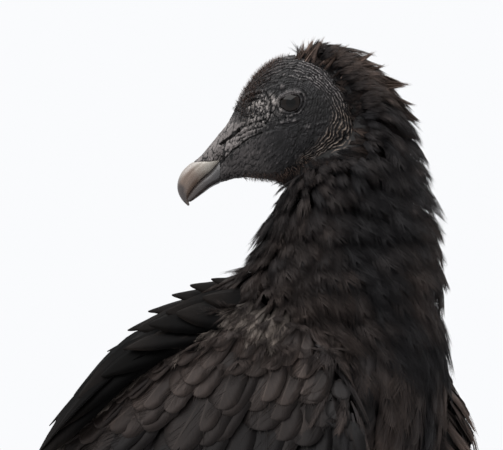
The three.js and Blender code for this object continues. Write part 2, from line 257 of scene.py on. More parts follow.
def add_mesh(name, points, *faces):
    """Adds an object whose mesh has these points and arrays of faces, each array of one width."""
    mesh = bpy.data.meshes.new(name)
    corners = np.concatenate([f.ravel() for f in faces]).astype(np.int32)
    counts = np.concatenate([np.full(len(f), f.shape[1]) for f in faces]).astype(np.int32)
    mesh.vertices.add(len(points))
    write(mesh.vertices, "co", points)
    mesh.loops.add(len(corners))
    mesh.loops.foreach_set("vertex_index", corners)
    mesh.polygons.add(len(counts))
    mesh.polygons.foreach_set("loop_start", np.cumsum(counts) - counts)
    mesh.shade_smooth()
    mesh.update(calc_edges=True)
    piece = bpy.data.objects.new(name, mesh)
    bpy.context.scene.collection.objects.link(piece)
    return piece


def drop_object(piece):
    mesh = piece.data
    bpy.data.objects.remove(piece)
    bpy.data.meshes.remove(mesh)


def mesh_arrays(mesh):
    """Points and triangles of a mesh."""
    mesh.calc_loop_triangles()
    return read(mesh.vertices, "co", 3).astype(float), read(mesh.loop_triangles, "vertices", 3, np.int32)


def tube_faces(rings, around):
    """Quads round a stack of rings, and fans that close it on the two centre points that follow the rings."""
    k, j = np.meshgrid(np.arange(rings - 1), np.arange(around), indexing="ij")
    a = k * around + j
    b = k * around + (j + 1) % around
    quads = np.stack([a, b, b + around, a + around], -1).reshape(-1, 4)
    j = np.arange(around)
    after, top, low = (j + 1) % around, (rings - 1) * around, rings * around
    tris = np.concatenate([
        np.stack([np.full(around, low), after, j], -1),
        np.stack([np.full(around, low + 1), top + j, top + after], -1),
    ])
    return quads, tris


def halved(quads):
    """Two triangles for each quad."""
    return np.concatenate([quads[:, [0, 1, 2]], quads[:, [0, 2, 3]]])


def loft(centres, across, upright, wide, high, around=48, squareness=2.0):
    """A closed body through superellipse sections. Everything is one row to a section."""
    turn = (np.arange(around) + 0.5) / around * 2 * math.pi
    cos, sin = (np.sign(v) * np.abs(v) ** (2 / squareness) for v in (np.cos(turn), np.sin(turn)))
    rings = centres[:, None] + across[:, None] * np.asarray(wide)[:, None, None] * cos[None, :, None]
    rings = rings + upright[:, None] * np.asarray(high)[:, None, None] * sin[None, :, None]
    points = np.concatenate([rings.reshape(-1, 3), centres[:1], centres[-1:]])
    quads, tris = tube_faces(len(centres), around)
    return points, np.concatenate([halved(quads), tris])


def remeshed(bodies, grain):
    """One even closed surface round several closed bodies of (points, triangles)."""
    points, faces, first = [], [], 0
    for body_points, body_faces in bodies:
        points.append(body_points)
        faces.append(np.asarray(body_faces) + first)
        first += len(body_points)
    piece = add_mesh("lump", np.concatenate(points), np.concatenate(faces))
    wrap = piece.modifiers.new("wrap", "REMESH")
    wrap.mode = "VOXEL"
    wrap.voxel_size = grain
    evaluated = piece.evaluated_get(bpy.context.evaluated_depsgraph_get())
    mesh = evaluated.to_mesh()
    found = read(mesh.vertices, "co", 3).astype(float)
    quads = read(mesh.loops, "vertex_index", kind=np.int32).reshape(-1, 4)
    evaluated.to_mesh_clear()
    drop_object(piece)
    return found, quads


def links(faces):
    """Each edge of the faces, both ways."""
    pairs = np.concatenate([np.stack(edge, -1) for edge in zip(faces.T, np.roll(faces, -1, 1).T)])
    return np.concatenate([pairs, pairs[:, ::-1]])


def relaxed(points, faces, rounds, share=0.5, keep_volume=True):
    """Points moved towards their neighbours' middles, and every second round outwards to keep the volume."""
    pairs = links(faces)
    count = np.bincount(pairs[:, 0], minlength=len(points))[:, None]
    for step in range(rounds):
        total = [np.bincount(pairs[:, 0], points[pairs[:, 1], k], len(points)) for k in range(3)]
        total = np.stack(total, -1)
        push = -1.04 * share if keep_volume and step % 2 else share
        points = points + push * (total / count - points)
    return points


def point_normals(points, faces):
    """Unit normals of the points of quads (from their diagonals) or triangles (from two edges)."""
    ends = (2, 0, 3, 1) if faces.shape[1] == 4 else (1, 0, 2, 0)
    a, b, c, d = (points[faces[:, k]] for k in ends)
    face = np.cross(a - b, c - d)
    total = np.zeros_like(points)
    for corner in range(faces.shape[1]):
        for k in range(3):
            total[:, k] += np.bincount(faces[:, corner], face[:, k], len(points))
    return unit(total)


def cut_with(piece, tool, operation):
    """Joins (UNION) or subtracts (DIFFERENCE) a closed tool, which is then removed."""
    step = piece.modifiers.new("cut", "BOOLEAN")
    step.operation = operation
    step.solver = "MANIFOLD"
    step.object = tool
    mesh = bpy.data.meshes.new_from_object(piece.evaluated_get(bpy.context.evaluated_depsgraph_get()))
    piece.modifiers.clear()
    old = piece.data
    piece.data = mesh
    bpy.data.meshes.remove(old)
    drop_object(tool)
    if not len(mesh.polygons):
        raise RuntimeError(f"{piece.name}: the cut left nothing")


def node_body(node):
    """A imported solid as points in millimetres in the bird's own frame, and triangles."""
    points, tris = mesh_arrays(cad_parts[node].data)
    points, index = np.unique(np.round(points / MM - HOME, 3), axis=0, return_inverse=True)
    return points, index.ravel()[tris]


def set_attribute(mesh, name, kind, values):
    layer = mesh.attributes.new(name, kind, "POINT")
    field = {"FLOAT": "value", "FLOAT_VECTOR": "vector", "FLOAT_COLOR": "color"}[kind]
    write(layer.data, field, values)


def finish_piece(piece, material, slot, *replaced):
    """Puts a piece built in millimetres in the bird's own frame into its place, in metres."""
    mesh = piece.data
    write(mesh.vertices, "co", (read(mesh.vertices, "co", 3) + HOME) * MM)
    mesh.update()
    mesh.materials.clear()
    mesh.materials.append(material)
    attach(piece, BODY)
    if replaced:
        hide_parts(*replaced)


# ---- materials ----


# What a node does unless it is told otherwise.
USUAL = {
    "Math": {"operation": "MULTIPLY"},
    "Mix": {"data_type": "RGBA"},
    "MapRange": {"interpolation_type": "SMOOTHSTEP"},
}


def per_metre(size):
    """A texture's scale for a pattern that repeats every size millimetres."""
    return 1 / (size * MM)


class Finish:
    """A material under construction."""

    def __init__(self, name):
        self.material = bpy.data.materials.new(name)
        self.material.use_nodes = True
        self.tree = self.material.node_tree

    def add(self, kind, *values, **named):
        """Adds a node with its settings and links.

        Values fill its inputs in order. Of the named ones, those with a capital are inputs and the others are
        settings. An input given a node takes its first output.
        """
        made = self.tree.nodes.new("ShaderNode" + kind)
        named = {**USUAL.get(kind, {}), **named}
        for key in [key for key in named if key[0].islower()]:
            setattr(made, key, named.pop(key))
        inputs = [socket for socket in made.inputs if socket.enabled]
        by_name = {socket.name.replace(" ", "_"): socket for socket in reversed(inputs)}
        for socket, value in [*zip(inputs, values), *((by_name[key], value) for key, value in named.items())]:
            self.fill(socket, value)
        return made

    def fill(self, socket, value):
        """Links a node or an output to an input, or sets the input to a number, vector or colour."""
        if isinstance(value, bpy.types.Node):
            value = next(output for output in value.outputs if output.enabled)
        if isinstance(value, bpy.types.NodeSocket):
            self.tree.links.new(value, socket)
        elif hasattr(value, "__len__"):
            socket.default_value = (*value, 1.0)[: len(socket.default_value)]
        else:
            socket.default_value = value

    def finish(self, **inputs):
        """Fills the surface shader's inputs."""
        shader = self.tree.nodes["Principled BSDF"]
        for key, value in inputs.items():
            self.fill(shader.inputs[key.replace("_", " ")], value)
        return self.material


# ---- head: shapes in the head's frame, +X along the bill, +Y left cheek, +Z crown, 0 between the pupils ----

# Skull, face and jaw with the bare skin: [x, top, bottom, half width].
FACE_OUTLINE = [
    [-35, -5, -17, 3], [-32, 8, -32, 12], [-26, 17, -41.5, 17], [-18, 24.5, -44, 20.5], [-8, 28, -43.5, 22],
    [2, 28, -42, 22], [12, 25, -44, 21], [20, 20.5, -43.5, 19], [26, 16, -41, 17.3], [32, 11.5, -37.5, 15.4],
    [38, 6.6, -33.8, 13.4], [44, 2.6, -30.6, 11.6], [50, -0.5, -28.6, 10.2], [53, -9, -22, 5],
]
# Upper bill from the forehead over the culmen to the hook: [x, z, half width, half height].
UPPER_BILL = [
    [33, -1.5, 11, 8.5], [40.2, -3.4, 10.4, 7.6], [50.9, -7.6, 8.7, 6.6], [62.2, -12.4, 7.4, 6],
    [69.1, -14.2, 6.8, 5.9], [75.5, -16.6, 6.1, 6], [79.8, -19.6, 5.1, 5.2], [82.5, -23.2, 3.8, 3.8],
    [83.8, -27.4, 2.3, 1.9], [83.4, -32.2, 0.5, 0.4],
]
# Lower bill from the jaw to its spoon-shaped tip.
LOWER_BILL = [
    [37.7, -20.2, 11, 11.5], [45.7, -20, 10, 10], [53.1, -20.8, 8.8, 8], [62.2, -22.6, 7, 4.8],
    [67.4, -23.6, 6.2, 4], [72.8, -25.2, 5, 3.6], [78.4, -27.4, 3.4, 2.6], [82, -28.9, 1.9, 1.7],
    [83.2, -29.8, 0.6, 0.5],
]
EYE_RADIUS = 9.5
SOCKET_GAP = 0.12
HORN_EDGE = np.array([54.6, -14.8])  # where the horn's edge crosses the gape, x and z
HORN_SLOPE = math.radians(22)  # that the edge rises against the head's axis
# Edge of the feathered hood round the bare face, x and z from the crown round the nape to the chin.
HOOD_LINE = [
    [-16, 33], [-17.2, 28.4], [-20.8, 23.4], [-27.4, 14.5], [-31.2, 5], [-33.2, -5], [-34, -14], [-33.4, -23],
    [-31.2, -31.5], [-27, -38.8], [-19.8, -41.6], [-10.2, -40.2], [-0.6, -38.6], [8.4, -38.4], [15, -39.8],
    [22.2, -42.6], [25, -46.5],
]
# The gape from the bill's tip back to its corner, x and z.
GAPE = [
    [81.8, -29.1], [72.2, -21.2], [69.5, -19.7], [65.1, -18.9], [59.9, -17.9], [53.6, -15.9], [47.6, -13.2],
    [39.1, -10.8], [31.1, -9.6], [24, -9.4],
]
# Oval areas of the face: middle x and z, half length, half height. The brow and the ear get painted shade.
LORE, NOSTRIL, SHADED_BROW = (20, 4.5, 9.5, 10), (30, -4, 10, 5), (-2.5, 16.5, 10, 5)
BELOW_EYE, EYE_CORNER, EAR = (4, -9, 8, 4), (9.5, 3, 3.5, 7), (-16, -9, 10, 8)
WRINKLE_SPACING = 1.4  # of the rings round the eye


def bill_loft(outline, squareness, around=56, steps=90, shrink=0.0):
    rows = through(outline, steps)
    centres = np.stack([rows[:, 0], np.zeros(len(rows)), rows[:, 1]], -1)
    tangent = unit(np.gradient(centres, axis=0))
    across = np.tile([0.0, 1.0, 0.0], (len(rows), 1))
    wide, high = np.maximum(rows[:, 2] - shrink, 0.2), np.maximum(rows[:, 3] - shrink, 0.2)
    return loft(centres, across, np.cross(tangent, across), wide, high, around, squareness)


def face_loft():
    rows = through(FACE_OUTLINE, 110)
    middle = (rows[:, 1] + rows[:, 2]) / 2
    centres = np.stack([rows[:, 0], np.zeros(len(rows)), middle], -1)
    across = np.tile([0.0, 1.0, 0.0], (len(rows), 1))
    upright = np.tile([0.0, 0.0, 1.0], (len(rows), 1))
    return loft(centres, across, upright, rows[:, 3], (rows[:, 1] - rows[:, 2]) / 2, 96)


def ahead_of_horn_edge(q):
    """Signed distance ahead of the horn's edge, a corner at HORN_EDGE, for points in the head's frame."""
    x, z = q[:, 0] - HORN_EDGE[0], q[:, 2] - HORN_EDGE[1]
    cos, sin = math.cos(HORN_SLOPE), math.sin(HORN_SLOPE)
    return np.minimum(x * sin - z * cos, x * cos + z * sin)


# Folds, lumps and creases of the bare face in side view: x and z along the line, height, half width (mm).
FACE_RIDGES = [
    ([[28, 13.6], [25, 15.2], [20.8, 15.8], [15.6, 15.4], [11, 14.2]], 1.25, 0.95),
    ([[27.5, 11.2], [24, 12.2], [20, 12.0], [17, 11.6]], 0.7, 0.75),
    ([[15.6, 12.0], [13.6, 9.2], [12.9, 6], [13.6, 3.4]], 0.85, 0.95),
    ([[10.2, 9.6], [8.6, 7.6], [7.9, 5.0], [8.2, 3.2]], 0.75, 1.2),
    ([[36.4, -1.0], [33, 0.4], [30.6, 0.1], [27.8, 0.9], [25.2, -0.4], [22.6, -0.2], [20.4, -2.0]], 1.0, 0.8),
    ([[38.5, -3.7], [33, -3.6], [28, -3.9], [23, -4.6], [19.6, -4.2]], 0.75, 0.6),
    ([[40, -6.5], [35.2, -6.6], [31.2, -6.2], [26.3, -6.9], [21, -7.6], [17.8, -6.6]], 0.75, 0.65),
    ([[44, -9.6], [37.8, -9.0], [33.2, -8.7], [28, -8.6]], 0.55, 0.55),
    ([[13, -7.8], [9.8, -9.6], [4.8, -10.6], [0.4, -10.9]], 0.75, 0.8),
    ([[14, 20.2], [5.3, 19.4], [-1.7, 18.0], [-7, 14.8], [-10.6, 10.2], [-12.4, 4.7]], 0.5, 0.7),
    ([[9, 17.2], [2.2, 16.0], [-2, 13.9], [-6, 10.9], [-8.6, 6.5]], 0.35, 0.55),
    ([[12.4, 13.4], [6, 14.0], [1.5, 13.0], [-2.4, 11.2], [-6.2, 7.8]], 0.3, 0.5),
    ([[2.5, -17.6], [-1.9, -17.4], [-5.4, -19.2]], 0.8, 0.9),
    ([[-5.5, -17.2], [-10.7, -19.6], [-16.5, -20.2]], 0.45, 0.7),
    ([[12, -13.5], [17, -11.8], [22, -11.2]], 0.35, 0.7),
    ([[6.2, -36.8], [1.4, -36.8], [-5.4, -36.4], [-11.5, -38.2], [-19.7, -38.4]], 0.9, 0.75),
    ([[5, -33.6], [-1, -33.2], [-6, -33.4], [-12, -35.2], [-18, -35.4]], 0.6, 0.6),
]
FACE_CREASES = [
    ([[27, 13.0], [22.9, 13.9], [17.6, 13.7], [13.4, 12.9]], 0.9, 0.4),
    ([[24.5, 10.3], [19.7, 10.8], [16.4, 10.0]], 0.6, 0.4),
    ([[11.9, 13], [11.4, 9.8], [10.9, 6.4], [11.9, 2.6], [13.8, 0.2], [15.4, -2.9], [19.6, -5.4]], 1.1, 0.5),
    ([[14.6, 0.9], [12.6, -2.2], [10.8, -6.4], [11.4, -8.8]], 0.9, 0.5),
    ([[40, -2.4], [34.6, -1.6], [28.7, -2.0], [23.1, -2.6], [18.4, -2.9]], 1.0, 0.45),
    ([[38.5, -5.2], [33, -5.0], [27.9, -5.5], [22, -6.2]], 0.7, 0.4),
    ([[40, -8.0], [33, -7.8], [27, -8.0]], 0.55, 0.4),
    ([[13, -10.2], [8, -12.4], [3, -13.0], [-2.4, -12.4]], 0.5, 0.7),
    ([[50.2, -6.1], [45, -4.9], [39.6, -3.5], [35.6, -2.3]], 2.6, 0.7),
    (GAPE[2:], 1.5, 0.42),
]
# Lumps: x, z, radius, height.
FACE_LUMPS = [
    [1.1, 11.0, 1.8, 1.7], [9.4, 4.6, 1.9, 1.1], [7.4, -2.6, 2.0, 0.7], [5.0, -5.8, 2.0, 0.8],
    [1.2, -7.4, 2.0, 0.6], [16.3, -1.2, 1.5, 1.0], [19.4, 6.6, 4.2, 0.7], [24.4, 6.8, 2.6, 0.3],
    [50.9, -7.0, 0.9, 0.8], [45.2, -9.0, 1.0, 0.6], [4.4, 12.2, 1.5, 0.4], [-2.8, -15.2, 1.5, 0.5],
    [-12.2, -2.6, 1.3, 0.45], [26.6, -1.2, 1.3, 0.5],
]
# The folds round the back of the head: their outer border along the hood, and the line where they begin.
FOLD_EDGE = [
    [27, 18], [21, 24.5], [12, 28.6], [2, 29.6], [-10, 28.8], [-20.4, 23.8], [-27.4, 14.5], [-31.2, 5],
    [-33.2, -5], [-34, -14], [-33.4, -23], [-31.4, -31.5], [-27.6, -39.9], [-20.3, -43.4], [-10.2, -42.4],
    [-0.6, -41.6], [8.4, -40.6], [16, -40],
]
FOLD_START = [
    [21, 13.5], [12, 15.6], [4, 16.4], [-3, 15.8], [-9.4, 13.2], [-14.6, 8.6], [-18, 2.6], [-19.8, -4.5],
    [-20.8, -11], [-20.4, -17], [-16.8, -22.4], [-10.1, -27.0], [-3.4, -30.0], [6, -32.6], [15, -36],
]
FOLDS = 8.0  # between the two lines


def inside(flat, outline):
    """Whether 2-D points lie inside a closed outline."""
    outline = np.asarray(outline, float)
    found = np.zeros(len(flat), bool)
    for a, b in zip(outline, np.roll(outline, -1, 0)):
        crosses = (a[1] > flat[:, 1]) != (b[1] > flat[:, 1])
        at = a[0] + (flat[:, 1] - a[1]) * (b[0] - a[0]) / (b[1] - a[1] if b[1] != a[1] else 1e-9)
        found ^= crosses & (flat[:, 0] < at)
    return found


def pebbles(points, size, seed):
    """Packed cells about size across: 1 over their middles, 0 in the creases between them."""
    p = np.asarray(points, float) / size
    cell = np.floor(p).astype(np.int64)
    near = np.full((2, len(p)), 9.0)
    for step in np.ndindex(3, 3, 3):
        corner = cell + step - 1
        shift = np.stack([_hash(*corner.T, seed + k) for k in range(3)], -1) * 0.5 + 0.5
        gap = np.linalg.norm(corner + shift - p, axis=1)
        near[1] = np.minimum(near[1], np.maximum(near[0], gap))
        near[0] = np.minimum(near[0], gap)
    return ease(near[1] - near[0], 0, 0.45)


def spot(q, x, z, long, high):
    """1 in the middle of an oval area of the face, 0 outside it."""
    return np.exp(-((((q[:, 0] - x) / long) ** 2 + ((q[:, 2] - z) / high) ** 2) ** 1.5))


def line_side(flat):
    """Height of side-view points above the gape."""
    line = np.array(GAPE[::-1])
    return flat[:, 1] - np.interp(flat[:, 0], line[:, 0], line[:, 1])


def fold_marks(q):
    """Folds round the back of the head: their count from the hood inwards, strength, lowness and beading."""
    flat = q[:, [0, 2]] + 0.7 * drift(q, 7, 1)
    outer, inner = through(FOLD_EDGE, 70), through(FOLD_START, 60)
    reach, share = line_distance(flat, outer)
    start, _ = line_distance(flat, inner)
    start = np.where(inside(flat, np.concatenate([outer, inner[::-1]])), start, -start)
    outside = ~inside(flat, np.concatenate([outer, [[60, -38], [60, 28]]]))
    reach, start = np.where(outside, -reach, reach), np.where(outside, np.abs(start), start)
    low = ease(q[:, 2], -2, -26)
    strength = ease(start, -2.5, 2.0) * ease(reach, -4, -2) * ease(share, 0.01, 0.14) * ease(share, 1.0, 0.93)
    strength = strength * np.clip(0.95 + 0.8 * noise(q, 3.2, 17), 0.3, 1.1)
    count = FOLDS * reach / np.maximum(reach + start, 1.0) + 0.45 * noise(q, 6, 5) + 0.34 * noise(q, 2.2, 6)
    # Each fold is beaded on its own, every 2 mm of the border's 115 mm.
    bead = noise(np.stack([share * 115 / 2.0, np.round(count) * 3.7, 0 * count], -1), 1.0, 6)
    return count, strength, low, bead


def lines_and_lumps(q):
    """Height of the ridges, lumps, packed cells and creases of the side of the face."""
    flat = q[:, [0, 2]] + 0.5 * drift(q, 5, 1) + 0.32 * drift(q, 1.9, 3)
    uneven = 0.8 + 0.45 * noise(q, 2.8, 7)
    out = np.zeros(len(q))
    for line, height, half in FACE_RIDGES:
        gap, share = line_distance(flat, line)
        out += height * held(4 * np.minimum(share, 1 - share) + 0.35) * uneven * hump(gap, half)
    for x, z, radius, height in FACE_LUMPS:
        gap = np.hypot(flat[:, 0] - x, flat[:, 1] - z)
        out += height * np.exp(-((gap / radius) ** 2.6))
    bent = q + 1.6 * drift(q, 3.5, 65, 3)
    packed = pebbles(bent * [1, 1, 1.15], 4.1, 11) - 0.5 + 0.4 * (pebbles(bent, 1.5, 21) - 0.5)
    out += (0.85 * spot(q, *LORE) + 0.6 * spot(q, *BELOW_EYE) + 0.4 * spot(q, *NOSTRIL)) * packed
    broken = 0.55 + 0.7 * np.abs(noise(q, 2.4, 69))
    for line, depth, half in FACE_CREASES:
        out -= depth * broken * hump(line_distance(flat, line)[0], half)
    return out


def eyelids(q):
    """Distance round the eye, and the height of its lids: a thin rim, a broken one behind and below it, and
    the swollen upper lid that droops over the eye."""
    x, _, z = q.T
    ring = np.hypot((x - 0.5) / 1.18, z / (0.92 + 0.05 * ease(z, -1, 1)))
    ring = ring + 0.3 * noise(q, 2.6, 13)
    behind = ease(x + z, 6, -4)
    beads = 0.55 + 0.75 * noise(q, 1.5, 68)
    lids = 0.8 * hump(ring - 6.2, 0.6) - 0.5 * hump(ring - 7.2, 0.35)
    lids += (0.1 + 0.8 * behind * beads) * hump(ring - 8.3, 0.65)
    lids -= (0.1 + 0.3 * behind) * hump(ring - 9.6, 0.4)
    lids += 2.1 * ease(z - 0.12 * x, 3.0, 4.4) * ease(ring, 8.6, 6.6)
    lids -= 0.4 * ease(z, -3, -5) * ease(ring, 7.6, 6.4)
    return ring, lids * ease(ring, 14, 11)


def fine_wrinkles(q):
    """Height of the fine wrinkles and cracks, with long striae on the jaw, and where the jaw is."""
    x, y, z = q.T
    slanted = np.stack([x + 0.8 * z, 0.4 * (z - 0.8 * x), y], -1)
    fine = 0.14 * noise(slanted, 1.3, 8) + 0.3 * (pebbles(slanted, 2.3, 15) - 0.5)
    fine -= 0.34 * ease(np.abs(noise(slanted, 3.1, 63)), 0.13, 0.02)
    fine -= 0.22 * ease(np.abs(noise(slanted, 1.7, 64)), 0.12, 0.02)
    jaw = ease(line_side(q[:, [0, 2]]), -1, -4) * ease(x, 6, 16)
    along, over = 0.95 * x - 0.32 * z, 0.32 * x + 0.95 * z
    striae = noise(np.stack([0.22 * along, over, 0.3 * y], -1), 0.95, 70)
    return fine * (1 - 0.55 * jaw) + 0.2 * jaw * striae, jaw


def face_relief(q, normals, fold_height):
    """How far the bare skin stands out, its dry crests (1) and shaded grooves (-1), and how lumpy it is."""
    sideways = ease(np.abs(normals[:, 1]), 0.12, 0.5)
    x, _, z = q.T
    ring, lids = eyelids(q)
    out = (lines_and_lumps(q) + lids) * sideways
    count, strength, low, bead = fold_marks(q)
    wave = 0.5 + 0.5 * np.cos(2 * math.pi * count)
    folds = (wave**1.8 - 0.35) * (1 + (0.3 + 0.45 * low) * bead)
    out += fold_height * strength * folds * (0.9 + 0.5 * low)
    # The culmen is smooth.
    culmen = ease(x - 0.9 * z, 30, 42) * ease(z, -10, -5)
    fine, jaw = fine_wrinkles(q)
    lore = spot(q, *LORE)
    out += fine * (1 + 0.6 * lore) * (1 - 0.85 * culmen)
    around = np.cos(2 * math.pi * (ring / WRINKLE_SPACING + 0.7 * noise(q, 3.4, 61)))
    ringed = ease(ring, 8.6, 10.2) * ease(ring, 19, 13) * held(0.6 + 0.9 * noise(q, 3.0, 62))
    out += 0.22 * around * ringed * sideways
    # The lid's rim and the crown are darker than their relief makes them; the skin over the eye and the brow
    # gets painted shade, the shadow under the brow.
    crest = np.clip((out + 1.6 * np.minimum(fine, 0.05 + 0.15 * jaw)) / 0.9, -1.2, 1.2)
    crest -= 0.6 * hump(ring - 6, 1.3) * held(crest) + 0.25 * ease(ring, 14, 8) * ease(z, 4, 9)
    crest -= 0.12 * ease(z + 0.25 * x, 14, 20) + 0.45 * spot(q, *SHADED_BROW)
    return out, crest, held(lore + 0.7 * spot(q, *NOSTRIL) + 0.8 * spot(q, *EYE_CORNER))


def is_bare(points, margin=0.0):
    """Whether points lie on the bare face, ahead of the hood's edge or behind it by less than margin."""
    q = to_head(points)
    edge = q[:, [0, 2]] + 1.2 * drift(points, 6, 31)
    bare = inside(edge, HOOD_LINE + [[100, -46.5], [100, 45], [-16, 45]])
    return bare | (line_distance(edge, HOOD_LINE)[0] < margin)


# ---- body: the envelope that the feathers' tips reach ----

FLESH = ["trunk", "neck", "head", "wing_left", "wing_right", "thigh_left", "thigh_right"]
LEG_NODES = [
    f"{part}_{side}"
    for side in SIDES
    for part in ("shank", "toe_middle", "toe_inner", "toe_outer", "toe_hind")
]
_kept = {}


def envelope():
    """Smooth outer surface of head, neck, trunk, wings and thighs, as points, quads and a search tree."""
    if "envelope" not in _kept:
        points, quads = remeshed([node_body(node) for node in FLESH], 2.8)
        points = relaxed(points, quads, 40)
        tree = BVHTree.FromPolygons(points.tolist(), quads.tolist())
        _kept["envelope"] = points, quads, tree
    return _kept["envelope"]


def coat_depth(points):
    """Depth of the plumage over the skin, by place on the bird."""
    q = to_head(points)
    on_head = ease(np.linalg.norm(q - [0, 0, -8], axis=1), 62, 42)
    on_neck = ease(points[:, 2], 325, 360)
    depth = 8 + 8 * on_neck
    return depth * (1 - 0.5 * on_head)


TOES = {  # heading off straight ahead in degrees, length, half thickness, claw length
    "middle": (4, 68, 5.3, 15), "inner": (-27, 43, 4.9, 15),
    "outer": (33, 49, 4.8, 13), "hind": (192, 27, 4.3, 11),
}
STANCE = 46.0  # ball of the foot from the middle plane
BALL_OF_FOOT = 98.0


def leg_relief(points, normals):
    """Scutes across the front of the shank and the tops of the toes, and small round scales elsewhere."""
    out = np.zeros(len(points))
    side = np.sign(points[:, 0])
    shank = ease(points[:, 2], 15, 24) * ease(points[:, 2], 96, 84)
    front = ease(-normals[:, 1], 0.1, 0.6)
    plate = np.abs(np.mod(points[:, 2] / 4.4 + 0.12 * noise(points, 6, 21), 1) - 0.5) * 2
    out -= 0.45 * shank * front * ease(plate, 0.78, 1.0)
    best = np.full(len(points), 1e9)
    along = np.zeros(len(points))
    for heading, *_ in TOES.values():
        angle = math.radians(heading)
        way = np.stack([side * math.sin(angle), np.full(len(points), -math.cos(angle))], -1)
        rel = points[:, :2] - np.stack([side * STANCE, np.full(len(points), BALL_OF_FOOT)], -1)
        run = (rel * way).sum(1)
        gap = np.abs(rel[:, 0] * way[:, 1] - rel[:, 1] * way[:, 0]) + 50 * (run < 3)
        nearer = gap < best
        best[nearer], along[nearer] = gap[nearer], run[nearer]
    on_toe = ease(points[:, 2], 19, 13) * ease(normals[:, 2], 0.0, 0.45)
    plate = np.abs(np.mod(along / 3.3, 1) - 0.5) * 2
    out -= 0.42 * on_toe * ease(plate, 0.72, 1.0)
    rest = 1 - held(shank * front + on_toe)
    out += 0.16 * rest * noise(points, 2.2, 23)
    return out


def skin_material(settings):
    """Bare vulture skin: dry, leathery and nearly black, greyer on the cere and on worn fold crests.

    Real skin of this kind scatters little light and has a broad, weak highlight.
    """
    f = Finish("bare_skin_leathery")
    relief, legs = (f.add("Attribute", attribute_name=name).outputs["Fac"] for name in ("Relief", "Legs"))
    zones, folds = (f.add("Attribute", attribute_name=name) for name in ("Zones", "Folds"))
    cere, lore, crown = f.add("SeparateColor", zones).outputs
    count, strength, low = f.add("SeparateXYZ", folds.outputs["Vector"]).outputs
    place = f.add("TexCoord").outputs["Object"]
    # Pores and scurf 0.7 mm apart, in patches 6 mm across.
    pores = f.add("TexNoise", Vector=place, Scale=per_metre(0.714), Detail=3.0, Roughness=0.6)
    patches = f.add("TexNoise", Vector=place, Scale=per_metre(6.25), Detail=4.0, Roughness=0.65)
    mottle = f.add("MapRange", f.add("Math", patches, pores), 0.1, 0.42)
    base = f.add("Mix", mottle, linear("#0e0d0e"), settings.colour)
    # Dry crests are rubbed grey where the scurf lies thick.
    worn = f.add("MapRange", relief, 0.12, 0.8)
    worn = f.add("Math", worn, f.add("MapRange", pores, 0.3, 0.65, 0.3, 1.0))
    base = f.add("Mix", f.add("Math", worn, 0.55), base, settings.ridge_colour)
    # The lore's lumps are paler the higher they stand: pale scurf, and partly a painted highlight on their
    # tops.
    lore_scurf_and_highlight = f.add("Math", lore, f.add("MapRange", relief, -0.5, 1.2, 0.1, 0.78))
    base = f.add("Mix", lore_scurf_and_highlight, base, linear("#857f7b"))
    grey = f.add("Mix", patches, linear("#4c4745"), settings.cere_colour)
    grey = f.add("Mix", f.add("Math", pores, 0.5), grey, linear("#34302f"))
    base = f.add("Mix", cere, base, grey)
    base = f.add("Mix", f.add("Math", crown, 0.92), base, linear("#130d0c"))
    # Crests of the folds are rubbed grey, and browner towards the jaw.
    wave = f.add("Math", f.add("Math", count, 2 * math.pi), operation="COSINE")
    crest = f.add("Math", f.add("MapRange", wave, 0.0, 0.95), strength)
    crest = f.add("Math", crest, f.add("MapRange", crown, 0.0, 1.0, 1.0, 0.72))
    crest = f.add("Math", crest, f.add("MapRange", pores, 0.3, 0.62, 0.15, 1.0))
    rubbed = f.add("Mix", low, settings.ridge_colour, linear("#6d6055"))
    base = f.add("Mix", crest, base, rubbed)
    # Painted shade: the troughs of the folds and the grooves of the face's relief are darkened nearly to black.
    shaded_trough = f.add("Math", f.add("MapRange", wave, 0.15, -0.8), strength)
    groove = f.add("MapRange", relief, -0.05, -0.7)
    groove = f.add("Math", groove, shaded_trough, operation="MAXIMUM")
    base = f.add("Mix", f.add("Math", groove, 0.95), base, linear("#080707"))
    # Round scales of the legs, 2 mm across, dark between them.
    cells = f.add("TexVoronoi", Vector=place, Scale=per_metre(2.083), feature="DISTANCE_TO_EDGE")
    scale = f.add("MapRange", cells, 0.0, 0.12)
    seams = f.add("Math", f.add("Math", 1.0, scale, operation="SUBTRACT"), 0.7)
    dusty = f.add("MapRange", patches, 0.4, 0.62)
    leg = f.add("Mix", dusty, linear("#5c5651"), settings.leg_colour)
    leg = f.add("Mix", seams, leg, linear("#2f2b29"))
    leg = f.add("Mix", f.add("Math", groove, 0.85), leg, linear("#2a2624"))
    base = f.add("Mix", legs, base, leg)
    # Down-covered skin under the feathers is plain and dark.
    base = f.add("Mix", zones.outputs["Alpha"], linear("#121111"), base)
    raised = f.add("Math", f.add("Math", scale, legs), 0.8)
    raised = f.add("Math", f.add("Math", pores, 0.5), raised, operation="ADD")
    bump = f.add("Bump", Strength=0.5, Distance=0.4 * MM, Height=raised)
    return f.finish(Base_Color=base, Roughness=0.55, Specular_IOR_Level=0.22, IOR=1.45, Normal=bump)


